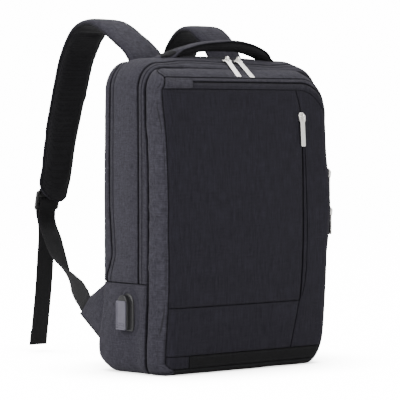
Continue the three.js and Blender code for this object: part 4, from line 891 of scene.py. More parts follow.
def tape_cloth(name, base, light):
    n = Nodes(name)
    at = n.flat()
    xyz = n.add("ShaderNodeSeparateXYZ", {0: at})
    twill = n.math("SINE", n.math("MULTIPLY", n.math("ADD", xyz.outputs[0], xyz.outputs[1]), 7.5))
    share = n.ramp(n.math("ADD", twill, n.noise(at, 0.9)), -0.6, 1.7)
    return n.out(n.mix(share, base, light), n.ramp(share, 0, 1, 0.85, 0.65),
                 n.bump(twill, 0.00015, 0.6), specular=0.3)


def satin_metal(name, base):
    n = Nodes(name)
    at = n.solid()
    brush = n.noise(n.vector("MULTIPLY", at, (3.0, 3.0, 0.25)), 1.0, 3.0)
    worn = n.noise(at, 0.25, 3.0)
    color = n.mix(n.ramp(worn, 0.4, 0.65, 0.0, 0.3), base, tuple(c * 0.7 for c in base[:3]) + (1,))
    rough = n.math("ADD", n.ramp(brush, 0.3, 0.7, 0.2, 0.34), n.ramp(worn, 0.4, 0.7, 0.0, 0.06))
    return n.out(color, rough, n.bump(brush, 0.00003, 0.5), metallic=1.0)


def moulded(name, base, light, rough=0.45, grain=1.6):
    n = Nodes(name)
    at = n.solid()
    fine = n.noise(at, grain, 3.0)
    broad = n.noise(at, 0.08, 2.0)
    color = n.mix(n.ramp(broad, 0.35, 0.65, 0.0, 0.5), base, light)
    return n.out(color, n.ramp(fine, 0.3, 0.7, rough - 0.06, rough + 0.08),
                 n.bump(fine, 0.00006, 0.6), specular=0.5)


SIDE_CLOTH = heather("side_heather", grey(34, 5), grey(62, 8), streak=(0.5, 0.12), cross=0.5)
# The face cloth's streakier weave is its own; its greys, darker than the side cloth's, are painted shade for a face
# turned away from the key light.
FACE_CLOTH_SHADED = heather("face_heather_shaded", grey(21, 5), grey(38, 8), streak=(0.5, 0.045), cross=0.3)
# Painted shade: a near-black copy of the charcoal face cloth, for the base strip and the gusset's foot where they turn
# under.
SHADED_BASE_CLOTH = heather("shaded_base_heather", grey(13, 1), grey(23, 1), streak=(0.5, 0.06), cross=0.4)
STRAP_CLOTH = heather("strap_heather", grey(34, 5), grey(62, 8), streak=(0.5, 0.12), cross=0.5)
MESH_CLOTH = spacer_mesh("black_spacer_mesh", grey(27, 2), grey(10, 1))
LINING = tape_cloth("black_lining", grey(8, 1), grey(14, 1))
TAPE = tape_cloth("black_zip_tape", grey(8, 1), grey(18, 2))
WEB = ribbed_web("black_webbing", grey(8, 1), grey(24, 2))
METAL = satin_metal("satin_silver", (0.96, 0.94, 0.90, 1))
PLASTIC = moulded("black_moulding", grey(10, 2), grey(16, 3))
RUBBER = moulded("grey_rubber", grey(68, 9), grey(78, 11), 0.5, 1.0)


def dress(obj, material, slot, *nodes):
    obj.data.materials.clear()
    obj.data.materials.append(material)
    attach(obj, "root")
    if nodes:
        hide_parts(*nodes)
    return obj


# Body panels

def side_relief(seed, strength=0.45):
    """Soft waves of filled cloth and short puckers beside the seams."""
    def relief(u, v, du, dv):
        broad = noise(u, v, 46, 30, seed) * strength
        pucker = noise(u, v, 7, 26, seed + 1) * 0.35 * np.exp(-dv / 7)
        return broad * (1 - np.exp(-dv / 9)) + pucker * (1 - np.exp(-dv / 1.5))
    return relief


def upright(u, v):
    """Flat coordinates of the arched bands: across the band, then along it."""
    return stack(v, u, 0)[..., :2]


def wavy(base, seed, size=0.5):
    return lambda u: base + size * noise(u, u * 0, 34, 1, seed) + 0.5 * size * noise(u, u * 0, 11, 1, seed + 1)


SLIT, LIP = 1.5, 6.6
# The laptop zip strays near its lower ends: height over the lower panel, shift
STRAY = np.array([(0, -5.5), (8, -5), (22, 0.5), (38, 5.5), (56, 4.5), (78, 2.5), (100, 1), (140, 0)])


def laptop_line(offset, seed):
    ripple = wavy(0.0, seed)
    low = lambda u: np.minimum(u, ARCH - u)
    return lambda u: LAPTOP_ZIP + offset + ripple(u) + pchip(np.clip(low(u), 0, 140), STRAY[:, 0], STRAY[:, 1])


def groove_edge(surface):
    """How far from the back a body panel ends at the groove."""
    def edge(u):
        p = surface(u, MAIN_DEPTH)[0]
        return BACK_Y - GROOVE_BOW * swell_at(p[..., 2]) - 2.6 - groove_y(p[..., 0], p[..., 2])
    return edge


arch_rows = Rows(340, (2, 2), (3, 3))
bands = [
    # name, node, rear edge, front edge, roll of the edges, rows, seed
    ("laptop_gusset", "laptop_gusset", SEAM_GAP, laptop_line(-SLIT, 5), (2, 2), 6, 3),
    ("main_gusset_lip", "main_gusset", laptop_line(SLIT, 7), laptop_line(SLIT + LIP, 8),
     (1.6, 1.2), 4, 15),
    ("main_gusset", "main_gusset", laptop_line(SLIT + LIP + 0.5, 8), wavy(MAIN_ZIP - SLIT, 9, 0.3),
     (1.2, 1.6), 24, 11),
    ("front_gusset_lip", "front_gusset", wavy(MAIN_ZIP + SLIT, 13, 0.3),
     wavy(MAIN_ZIP + SLIT + LIP, 14, 0.3), (1.6, 1.2), 4, 17),
    ("front_gusset", "front_gusset", wavy(MAIN_ZIP + SLIT + LIP + 0.5, 14, 0.3), groove_edge(arch_surface),
     (1.2, 2.6), 6, 19),
]
for name, node, first, last, roll, count, seed in bands:
    rows = Rows(count, roll, (3, 8 if name == "front_gusset" else 3), 5)
    puff = 1.2 if name == "main_gusset" else 0.3
    obj = panel(name, arch_surface, arch_rows, rows, (0, ARCH), (first, last), puff,
                relief=side_relief(seed), flat=upright)
    dress(obj, SIDE_CLOTH, "body_cloth", node)


def tray_relief(u, v, du, dv):
    wave = noise(u, v, 60, 40, 23) * 0.5
    wave += 0.7 * bump_at(u, v, 40, 30, 30, 12, 0.4) - 0.6 * bump_at(u, v, 78, 60, 18, 26, -0.3)
    low = smooth((u - LEG_RUN - 8) / 20) * smooth((TRAY - LEG_RUN - 8 - u) / 20)
    ring = np.hypot((v - 57) / 17, (u - 40) / 30)
    rim = 1.1 * np.exp(-(((ring - 1) / 0.1) ** 2)) - 1.2 * np.exp(-(((ring - 1.17) / 0.05) ** 2))
    return wave * (1 - low) * (1 - np.exp(-dv / 9)) + rim * (u < TRAY / 2)


tray = panel("lower_panel", tray_surface, Rows(320, (2, 2), (3, 3)), Rows(60, (2, 2.6), (3, 8), 5),
             (0, TRAY), (SEAM_GAP, groove_edge(tray_surface)), 0.0, relief=tray_relief, flat=upright)
dress(tray, SIDE_CLOTH, "body_cloth", "lower_panel")


def zip_strip(name, surface, u_ends, centre, width, sink, under, count):
    """Tape with a ribbed coil standing in the slit."""
    u = np.linspace(*u_ends, count)
    profile = np.array([
        (-width / 2, under), (-2.9, under), (-1.5, under - 0.2), (-1.35, sink + 0.5),
        (-0.8, sink + 0.1), (-0.12, sink), (0, sink + 0.35), (0.12, sink), (0.8, sink + 0.1),
        (1.35, sink + 0.5), (1.5, under - 0.2), (2.9, under), (width / 2, under),
    ])
    p, out = surface(u[:, None], centre + profile[None, :, 0])
    rib = 0.28 * np.abs(np.sin(math.pi * u / 1.5))
    on_coil = (np.abs(profile[:, 0]) < 1.4) & (np.abs(profile[:, 0]) > 0.05)
    inset = profile[None, :, 1] + rib[:, None] * on_coil[None, :]
    p = p - out * inset[..., None]
    return grid_object(name, p, out, stack(profile[None, :, 0], u[:, None], 0)[..., :2])


laptop_middle = laptop_line(0.0, 6)
for name, middle in (("laptop_zip", laptop_middle), ("main_zip", lambda u: MAIN_ZIP + 0 * u)):
    on_body = lambda u, v, middle=middle: arch_surface(u, middle(u) + v)
    obj = zip_strip(name, on_body, (1, ARCH - 1), 0.0, 14.0, 2.4, 6.4, 2200)
    dress(obj, TAPE, "zip_tape", name)


# Back panel and the divider at the bottom of the groove

def half_width_at(z):
    half, top, run, rise, floor = (float(v) for v in body_section(np.asarray(0.0)))
    swell = SIDE_SWELL * swell_at(z)
    up = np.clip((z - top + rise) / rise, 0, 1)
    down = np.clip((FOOT_RISE - z) / (FOOT_RISE - floor), 0, 1)
    width = np.where(z > top - rise, half - run + (run + swell) * np.sqrt(1 - up**2), half + swell)
    return np.where(z < FOOT_RISE, half - FOOT_RUN + (FOOT_RUN + swell) * np.sqrt(1 - down**2), width)


def back_surface(u, z):
    """The padded back; u runs from -1 to 1 between its side seams."""
    width = half_width_at(z) - SEAM_GAP
    low, high = 5.7, body_section(np.asarray(0.0))[1] - 0.6
    edge = np.minimum((1 - np.abs(u)) * width, np.minimum(z - low, high - z))
    puff = np.sqrt(np.clip(1 - (1 - np.clip(edge / 16, 0, 1)) ** 2, 0, 1))
    middle = 1 - np.maximum(np.abs(u), np.abs(z / (BODY_HEIGHT / 2) - 1)) ** 2
    y = BACK_Y + 1.0 + 6.2 * puff + 2.6 * np.clip(middle, 0, 1)
    return slumped(stack(u * width, y, z))


def build_back():
    z = np.concatenate([5.8 + 14 * (1 - np.cos(np.linspace(0, QUARTER, 8))), np.linspace(22, 375, 60),
                        375 + 39 * np.sin(np.linspace(0.05, QUARTER, 14))])
    u = np.sin(np.linspace(-QUARTER, QUARTER, 61))
    face = back_surface(u[None, :], z[:, None])
    inner = face.copy()
    inner[..., 1] = BACK_Y + 0.3
    rows, columns = face.shape[:2]
    points = np.concatenate([face.reshape(-1, 3), inner.reshape(-1, 3)])
    front = grid_faces(rows, columns)
    n = rows * columns
    faces = [front[:, ::-1], front + n]
    border = [i for i in range(columns)]
    border += [i * columns + columns - 1 for i in range(1, rows)]
    border += [(rows - 1) * columns + i for i in range(columns - 2, -1, -1)]
    border += [i * columns for i in range(rows - 2, 0, -1)]
    b = np.array(border)
    c = np.roll(b, -1)
    faces.append(np.stack([b, c, c + n, b + n], -1))
    obj = make_mesh("back_panel", points, np.concatenate(faces))
    bm = bmesh.new()
    bm.from_mesh(obj.data)
    bmesh.ops.remove_doubles(bm, verts=bm.verts, dist=1e-5)
    bmesh.ops.recalc_face_normals(bm, faces=bm.faces)
    bm.to_mesh(obj.data)
    bm.free()
    return inflate(obj, 0.005, 0.003, 3.0)


back = build_back()
dress(back, MESH_CLOTH, "back_mesh", "back_panel")


def build_divider():
    """The cloth wall at the bottom of the groove, following the pouch's rim."""
    t = np.linspace(0, RIM_LENGTH, 300, endpoint=False)
    x, z, out, _ = rim_at(t)
    middle = np.array([0, POUCH_HEIGHT / 2])
    rows = []
    for share in (0, 0.15, 0.4, 0.7, 0.97):
        px = lerp(x - out[:, 0] * 6.2, middle[0], share)
        pz = lerp(z - out[:, 2] * 6.2, middle[1], share)
        rows.append(leaned(stack(px, groove_y(px, pz) + 0.8, pz)))
    p = np.array(rows)
    obj = grid_object("inner_front_panel", p, np.zeros_like(p) + (0, -1, 0), p[..., ::2],
                      loop_columns=True)
    skin = obj.modifiers.new("cloth", "SOLIDIFY")
    skin.thickness, skin.offset = 0.0008, 0
    apply_modifiers(obj)
    return dress(obj, LINING, "lining", "inner_front_panel")


build_divider()


# Pouch

gap = SEAM_GAP / 2


def gusset_relief(u, v, du, dv):
    wave = noise(u, v, 38, 22, 31) * 0.55 * (1 - np.exp(-dv / 8))
    left = smooth((u - 60) / 60) * smooth((RIM_START["top_left"] - 20 - u) / 50)
    pucker = noise(u, v, 8, 30, 33) * (0.3 + 0.9 * left) * np.exp(-dv / 9) * (1 - np.exp(-dv / 2))
    pucker += noise(u, v, 13, 60, 35) * 0.5 * left
    z = LEFT_LOW + u
    crease = 0 * v
    # height up the left side, place across, length, width, turn and depth of each crease
    for at, across, long, wide, turn, deep in (
        (227, -12, 14, 5, 0.5, 1.9), (213, -10, 13, 4, -0.4, -1.9), (201, -14, 12, 5, 0.2, 1.2),
        (262, -13, 14, 6, -0.5, 1.4), (250, -8, 12, 4, 0.5, -1.3), (176, -10, 14, 5, 0.4, 1.3),
        (164, -14, 12, 4, -0.3, -1.4), (146, -12, 12, 5, 0.5, 1.5), (136, -8, 12, 4, -0.3, -1.5),
        (110, -14, 14, 6, 0.3, 1.0), (300, -12, 16, 6, 0.4, 1.0), (340, -12, 14, 5, -0.4, -1.0),
        (78, -12, 14, 6, -0.4, 1.0), (44, -14, 16, 6, 0.6, 1.2),
    ):
        crease += deep * bump_at(v, z, across, at, long, wide, turn)
    top = smooth((u - RIM_START["top"] + 30) / 30) * smooth((RIM_START["right"] - u) / 40)
    crease += top * noise(u, v * 3, 34, 24, 37) * 0.9
    crease -= 4.6 * top * np.exp(-(v + 4) / 6)
    crease -= 4.0 * bump_at(u, v, RIM_START["top"] + 124, 5, 26, 9)
    return wave + pucker + crease * (1 - np.exp(-dv / 3))


SEAM_TURN = RIM_START["top_left"] + 20.0
GUSSET_FOOT = RIM_START["foot_left"] + 8.0


def gusset_surface(u, v):
    """The pouch's walls; the seam at the top left slants towards the middle as it goes back."""
    rear, front = groove_girth(u), rim_at(u)[3]
    share = np.clip((front - v) / (front - rear), 0, 1)
    moved = u + 18 * share * np.exp(-(((u - SEAM_TURN) / 22) ** 2))
    deep = np.where(v < 0, v * groove_girth(moved) / np.minimum(rear, -1e-3), v)
    return girth_surface(moved, deep)


gusset_rows = Rows(18, (2.6, 1.6), (8, 3), 5)
gusset_edges = (lambda t: np.minimum(0, groove_girth(t)), lambda t: rim_at(t)[3])
for name, first, last, count in (
    ("pouch_gusset", SEAM_TURN + gap, GUSSET_FOOT - gap, 420),
    ("pouch_gusset_left", GUSSET_FOOT - RIM_LENGTH + gap, SEAM_TURN - gap, 190),
):
    obj = panel(name, gusset_surface, Rows(count, (1.1, 1.1), (3, 3), 3), gusset_rows, (first, last),
                gusset_edges, 2.0 if name == "pouch_gusset_left" else 0.6, relief=gusset_relief, flat=upright)
    dress(obj, SIDE_CLOTH, "body_cloth", "pouch_gusset")
    if name == "pouch_gusset":
        # Painted shade: faces below 11 mm, right of x -134 mm, take the near-black copy of the face cloth.
        obj.data.materials.append(SHADED_BASE_CLOTH)
        for face in obj.data.polygons:
            face.material_index = int(face.center.z < 0.011 and face.center.x > -0.134)


BAND_FIRST, BAND_LAST = RIM_START["top"] - 16.7, RIM_START["low"] - 1
ZIP_SHARE = 0.36


def band_strip(name, first, last, low, high, proud, count, seed, material, slant=0.0):
    """One cloth strip of the band; slant runs its last end on by so much at the rear."""
    t = np.linspace(first, last, count)
    rows = Rows(8, (0.07, 0.07), (0.001, 0.001), 4)
    share = rows.place(0.0, 1.0)
    total = band_length(t)[:, None]
    s = lerp(low * total, high * total, share[None, :])
    shift = slant * (t[:, None] - first) / (last - first) * (1 - s / total)
    p, out = band_point(t[:, None] + shift, s)
    along = s - s[:, :1]
    dv = np.minimum(along, along[:, -1:] - along)
    inset = 1.2 * (1 - np.sqrt(1 - (1 - np.clip(dv / 1.2, 0, 1)) ** 2))
    inset[:, 0] = inset[:, -1] = 4.0
    du = np.minimum(t - first, last - t)[:, None] + 0 * dv
    inset = np.maximum(inset, 3.0 * (1 - np.clip(du / 1.0, 0, 1)))
    lift = proud + 0.4 * (1 - np.exp(-dv / 4)) + noise(t[:, None] + 0 * dv, dv, 30, 12, seed) * 0.3 * np.clip(dv / 4, 0, 1)
    p = p + out * (lift - inset)[..., None]
    obj = grid_object(name, p, out, stack(t[:, None], s, 0)[..., :2], np.stack([du, dv], -1))
    dress(obj, material, "body_cloth", "pouch_band")


band_strip("pouch_band", BAND_FIRST, BAND_LAST, ZIP_SHARE + 0.06, 1.0, 0.0, 420, 41, FACE_CLOTH_SHADED)
band_strip("pouch_band_rear", BAND_FIRST, BAND_LAST, 0.0, ZIP_SHARE - 0.06, 0.0, 420, 43, SIDE_CLOTH)
band_strip("pouch_band_end", BAND_FIRST, BAND_FIRST + 34, 0.04, 0.985, 1.1, 40, 45, SIDE_CLOTH, 8.0)
pouch_zip = zip_strip("pouch_zip", lambda t, v: band_point(t, ZIP_SHARE * band_length(t) + v),
                      (BAND_FIRST + 3, BAND_LAST - 1), 0.0, 7.0, 1.9, 5.4, 1500)
dress(pouch_zip, TAPE, "zip_tape", "pouch_zip")


def edge_curve(t):
    x, z, out, girth = rim_at(t)
    return x - out[..., 0] * np.maximum(girth, 0), z - out[..., 2] * np.maximum(girth, 0)


def curve_of(pieces):
    """x as a function of z through the given arrays of points."""
    x, z = np.concatenate([p[0] for p in pieces]), np.concatenate([p[1] for p in pieces])
    order = np.argsort(z)
    return lambda at: np.interp(at, z[order], x[order])


corner_left = np.linspace(RIM_START["foot_left"], RIM_LENGTH - 0.01, 20)
side_left = np.linspace(0, RIM_START["top"] - 1, 240)
left_edge = curve_of([edge_curve(corner_left), edge_curve(side_left)])
low_right = np.linspace(RIM_START["low"] + 4, RIM_START["foot"] - 0.5, 60)
band_right = np.linspace(RIM_START["top_right"], RIM_START["low"] - 1, 240)
right_edge = curve_of([edge_curve(low_right), band_front(band_right)])
slit_left = lambda z: slit_at(z)[0]
slit_right = lambda z: slit_at(z)[1]
seam_left = lambda z: np.where(z < POCKET_SEAM, low_seam_x(z), slit_right(z))



def face_relief(u, v, du, dv):
    wave = noise(u, v, 70, 90, 51) * 0.7 + noise(u, v, 26, 40, 53) * 0.25
    pucker = noise(u, v, 26, 7, 57) * 0.2 * np.exp(-du / 6) + noise(u, v, 7, 26, 58) * 0.2 * np.exp(-dv / 6)
    return wave * (1 - np.exp(-du / 14)) * (1 - np.exp(-dv / 14)) + pucker


PIECE_OF = {"base_strip_left": "base_strip", "pocket_flap": "face_side_panel"}


def face_panel(name, low, high, left, right, nu, nv, material, slot, seed):
    relief = lambda u, v, du, dv: face_relief(u + 37 * seed, v, du, dv)
    obj = panel(name, face_surface, Rows(nu, (1.1, 1.1), (2.5, 2.5), 3), Rows(nv, (1.1, 1.1), (2.5, 2.5), 3),
                (lambda z: left(z) + gap, lambda z: np.maximum(right(z) - gap, left(z) + 2.4)),
                (low + gap, high - gap), 0.4, relief=relief, u_first=False)
    dress(obj, material, slot, PIECE_OF.get(name, name))
    return obj


face_panel("face_panel", POCKET_SEAM, TOP_SEAM, left_edge, slit_left, 110, 140, FACE_CLOTH_SHADED, "face_cloth", 0)
face_panel("face_lower_panel", BASE_SEAM, POCKET_SEAM, left_edge, low_seam_x, 100, 34, FACE_CLOTH_SHADED, "face_cloth", 1)
face_panel("face_side_panel", BASE_SEAM, TOP_SEAM, seam_left, right_edge, 34, 170, FACE_CLOTH_SHADED, "face_cloth", 2)
# Painted shade: right of x -110 mm the base strip takes the near-black copy, left of it the face cloth.
painted_shade_start = lambda z: -110 + 0 * z
face_panel("base_strip", HEM, BASE_SEAM, painted_shade_start, right_edge, 110, 10, SHADED_BASE_CLOTH, "base_cloth", 3)
face_panel("base_strip_left", HEM, BASE_SEAM, left_edge, painted_shade_start, 20, 10, FACE_CLOTH_SHADED, "base_cloth", 4)
flap_left = lambda z: slit_left(z) + 1.5
face_panel("pocket_flap", POCKET_SEAM + 2.5, POCKET_TOP - 12, flap_left, slit_right, 8, 130, FACE_CLOTH_SHADED,
           "face_cloth", 5)


def build_pocket_zip():
    z = np.linspace(POCKET_SEAM + 1, POCKET_TOP, 700)[:, None]
    left, right = slit_at(z)
    across = np.array([-3.0, -0.6, 0.2, 0.6, 0.9, 1.2, 1.6, 2.4])[None, :]
    inset = np.array([4.4, 2.8, 2.0, 1.6, 1.9, 1.6, 2.2, 4.4])[None, :]
    wide = np.concatenate([across + 0 * z, right - left + 3], 1)
    x = left + wide
    inset = np.concatenate([inset + 0 * z, 4.4 + 0 * z], 1)
    inset[:, 2:6] += 0.35 * np.abs(np.sin(math.pi * z / 1.5))
    p, out = face_surface(x, z + 0 * x)
    return grid_object("pocket_zip", p - out * inset[..., None], out, stack(x, z + 0 * x, 0)[..., :2])


dress(build_pocket_zip(), TAPE, "zip_tape", "pocket_zip")


# Shoulder straps

ROUTES = {
    "left": [
        (0.095, 1.003, 1), (0.175, 1.045, 1), (0.258, 1.076, 1), (0.345, 1.104, 1), (0.442, 1.122, 1),
        (0.583, 1.103, 1), (0.668, 1.053, 1), (0.738, 0.985, 1), (0.788, 0.905, 1), (0.842, 0.81, 0.98),
        (0.894, 0.714, 0.93), (0.925, 0.629, 0.88), (0.956, 0.563, 0.82), (0.975, 0.518, 0.5),
    ],
    "right": [
        (0.095, 1.003, 1), (0.13, 1.057, 1), (0.188, 1.096, 1), (0.275, 1.107, 1), (0.36, 1.09, 1),
        (0.468, 1.012, 1), (0.555, 0.935, 1), (0.635, 0.86, 1), (0.695, 0.775, 1), (0.74, 0.68, 0.98),
        (0.77, 0.585, 0.93), (0.785, 0.5, 0.88), (0.795, 0.455, 0.82), (0.806, 0.415, 0.5),
    ],
}


def strap_frames(side, count=200):
    x = -STRAP_X if side == "left" else STRAP_X
    knots = [(x, BACK_Y + 14.3, 380, 1), (x, BACK_Y + 14.3, 404, 1)]
    knots += [(x, BACK_Y + b * STRAP_REACH, h * BODY_HEIGHT, w) for b, h, w in ROUTES[side]]
    line = spline(knots, count)
    centre, width = line[:, :3], line[:, 3]
    high, shift = (482, 20) if side == "right" else (490, 10)
    centre[:, 0] += shift * smooth((high - centre[:, 2]) / 84) * (np.arange(count) < count / 3)
    along = unit(np.gradient(centre, axis=0))
    across = np.tile([1.0, 0, 0], (count, 1))
    return centre, along, across, unit(np.cross(across, along)), width


def pad_section(width, thick):
    """Round-edged section of a strap's padding."""
    a = np.linspace(0, 2 * math.pi, 28, endpoint=False)
    c, s = np.cos(a), np.sin(a)
    x = np.sign(c) * np.abs(c) ** 0.45
    y = np.sign(s) * np.abs(s) ** 0.75
    return np.stack([x * width / 2, y * thick / 2], -1)


def build_strap(side):
    centre, along, across, out, width = strap_frames(side)
    total = np.cumsum(np.concatenate([[0], np.linalg.norm(np.diff(centre, axis=0), axis=1)]))
    to_end = total[-1] - total
    tip = np.sqrt(np.clip(1 - (1 - np.clip(to_end / 22, 0, 1)) ** 2, 0.02, 1))
    base = pad_section(1, 1)
    w = (STRAP_WIDTH + 3) * np.maximum(width, 0.86) * tip
    thick = 10.5 * np.clip(to_end / 8, 0.25, 1) ** 0.5 * lerp(0.7, 1, smooth(total / 60))
    profile = base[None] * np.stack([w, thick], -1)[:, None]
    skew = (0.42 if side == "left" else -0.42) * smooth(1 - to_end / 46)
    pad = sweep(f"strap_pad_{side}", centre, across + along * skew[:, None], out, profile)
    inflate(pad, 0.0042, 0.0025, 4.0)
    dress(pad, MESH_CLOTH, "back_mesh", f"strap_pad_{side}")
    tree = BVHTree.FromObject(pad, bpy.context.evaluated_depsgraph_get())
    share = np.linspace(-1, 1, 33)
    half = w / 2 + 1.2
    shell = np.zeros((len(centre), len(share), 3))
    normal = np.zeros_like(shell)
    for i in range(len(centre)):
        for j, s in enumerate(share):
            angle = s * (QUARTER + 0.28)
            x = half[i] * np.sign(s) * np.abs(np.sin(angle)) ** 0.62 if s else 0.0
            y = 5.2 * np.sign(np.cos(angle)) * np.abs(np.cos(angle)) ** 0.75
            p = centre[i] + (across[i] + along[i] * skew[i]) * x + out[i] * y
            near, n, _, _ = tree.find_nearest(Vector(p * MM))
            shell[i, j] = np.array(near) / MM + np.array(n) * 0.75
            normal[i, j] = n
    for _ in range(3):
        shell[1:-1] = (shell[:-2] + 2 * shell[1:-1] + shell[2:]) / 4
    edge = np.zeros((len(centre), len(share), 2))
    edge[..., 0] = np.minimum(total, to_end)[:, None]
    edge[..., 1] = (half[:, None] + 4) * (1 - np.abs(share))[None, :]
    uv = stack(share[None, :] * (half[:, None] + 4), total[:, None], 0)[..., :2]
    cover = grid_object(f"strap_cover_{side}", shell, normal, uv, edge)
    skin = cover.modifiers.new("cloth", "SOLIDIFY")
    skin.thickness, skin.offset = 0.0009, -1
    apply_modifiers(cover)
    dress(cover, STRAP_CLOTH, "strap_cloth", f"strap_cover_{side}")
    binding = []
    for j in (0, -1):
        line = shell[:, j] + normal[:, j] * 0.2
        a = np.linspace(0, 2 * math.pi, 10, endpoint=False)
        ring = np.stack([np.cos(a) * 1.5, np.sin(a) * 1.5], -1)
        t = unit(np.gradient(line, axis=0))
        n = unit(normal[:, j])
        b = unit(np.cross(t, n))
        binding.append(sweep(f"strap_binding_{side}_{'a' if j == 0 else 'b'}", line, b, n, ring))
    trim = joined(f"strap_binding_{side}", binding)
    dress(trim, STRAP_CLOTH, "strap_cloth")
    return centre[-1], along[-1], out[-1]


ends = {side: build_strap(side) for side in ("left", "right")}


# Ladder locks, tabs, webbing and wings

LOCK_OUT = 4 + 0.3 + 1.6 + 0.3 + 1.5 + 0.3 + 2.5


def build_lock(side):
    end, along, out = ends[side]
    centre = end + out * LOCK_OUT
    bars = []
    x = np.array([1.0, 0, 0])
    ring = rounded(42, 30, 5, 6)
    steps = len(ring)
    line = centre + x * ring[:, 0:1] + along * ring[:, 1:2]
    line = np.concatenate([line, line[:1]])
    t = unit(np.roll(line[:-1], -1, 0) - np.roll(line[:-1], 1, 0))
    t = np.concatenate([t, t[:1]])
    n = np.tile(out, (steps + 1, 1))
    b = unit(np.cross(t, n))
    inward = np.einsum("ij,ij->i", b, centre - line)
    b *= np.sign(inward)[:, None]
    section = rounded(4.4, 5.0, 1.6, 3) + np.array([2.2, 0])
    bars.append(sweep("lock_ring", line, b, n, section, caps=False))
    for offset, size in ((0.0, 8.0), (-10.0, 9.0), (10.5, 8.0)):
        start = centre + along * offset - x * 19
        stop = centre + along * offset + x * 19
        line = np.linspace(start, stop, 9)
        line += out * (0.5 * (1 - np.linspace(-1, 1, 9)[:, None] ** 2) if offset == 0 else 0)
        bars.append(sweep("lock_bar", line, np.tile(along, (9, 1)), np.tile(out, (9, 1)),
                          rounded(size, 4.4, 1.4, 3)))
    obj = joined(f"ladder_lock_{side}", bars)
    dress(obj, PLASTIC, "black_plastic", f"ladder_lock_{side}")


def ribbon(name, line, across, width, thick, columns=9):
    """A flat strip with rounded selvedges."""
    along = unit(np.gradient(line, axis=0))
    across = unit(across - along * np.sum(across * along, -1, keepdims=True))
    out = unit(np.cross(along, across))
    return sweep(name, line, across, out, rounded(width, thick, thick * 0.48, 2 if columns < 9 else 3))


def build_tab(side):
    end, along, out = ends[side]
    x = np.array([1.0, 0, 0])
    bar = -11.5
    knots = []
    for a, o in ((-36, 6.6), (-30, 6.5), (-18, 6.6), (bar + 1.5, 6.8), (bar + 3.6, 8.2), (bar + 4.0, LOCK_OUT),
                 (bar + 3.2, LOCK_OUT + 3.0), (bar - 1, LOCK_OUT + 3.6), (-20, 10.2), (-25, 8.8)):
        knots.append(end + along * a + out * o)
    line = spline(np.array(knots), 50)
    obj = ribbon(f"strap_tab_{side}", line, np.tile(x, (50, 1)), 30, 1.5)
    dress(obj, WEB, "body_cloth", f"strap_tab_{side}")


LEG = [(0.93, 0.05, 1), (0.83, 0.19, 1), (0.74, 0.38, 0.9), (0.62, 0.62, 0.75), (0.48, 0.8, 0.42),
       (0.32, 0.84, 0.14), (0.17, 0.62, 0)]
TAIL = [(0.1, -0.3), (0.35, -0.15), (0.6, 0.15), (0.8, 0.5), (1, 0.85)]
WING = {"thick": 3.0, "top": 119.0, "foot": 34.0, "end_top": 100.0, "end_foot": 74.0, "reach": 59.0, "short": 34.0}


def build_webbing(side):
    sign = -1 if side == "left" else 1
    end, along, out = ends[side]
    centre = end + out * LOCK_OUT
    reach = 2.5 + 0.45 + 0.75
    at = lambda a, o: centre + along * a + out * o
    wx = sign * (BODY[0, 1] * HALF - WING["thick"] / 2)
    top = np.array([wx, BACK_Y + WING["short"], WING["end_top"]])
    foot = np.array([wx, BACK_Y + WING["reach"], WING["end_foot"]])
    middle, slant = (top + foot) / 2, unit(foot - top)
    away = np.array([0, -slant[2], slant[1]])
    level = np.array([-sign, 0, 0.0])
    frames = [(middle - away * 8, slant), (middle + away * 0.6, slant)]
    start = at(19.5, -reach)
    for share, sag, turn in LEG:
        p = lerp(start, middle, share) - np.array([0, 0, sag * 29.0])
        frames.append((p, unit(level * math.cos(QUARTER * turn) + slant * math.sin(QUARTER * turn))))
    frames += [(at(30 * a, -reach), level) for a in (0.65, 0.3)]
    for angle in (-1, -0.5, 0, 0.5, 1):
        a = QUARTER * angle
        frames.append((at(-1.7 - reach * math.cos(a), reach * math.sin(a)), level))
    frames.append((at(18, reach + 0.3), level))
    drop = frames[-1][0]
    for down, lean in TAIL:
        frames.append((np.array([drop[0], drop[1] + lean * 18, lerp(drop[2], 9.0, down)]), level))
    knots = np.array([np.concatenate(f) for f in frames])
    line = spline(knots, 260)
    centre_line, across = line[:, :3], line[:, 3:6]
    obj = ribbon(f"webbing_{side}", centre_line, across, 30, 1.5)
    dress(obj, WEB, "webbing", f"webbing_{side}")
    tail = centre_line[-12:] + np.array([0, 1.55, 0])
    hem = ribbon(f"webbing_hem_{side}", tail, across[-12:], 30, 1.5)
    dress(hem, WEB, "webbing")


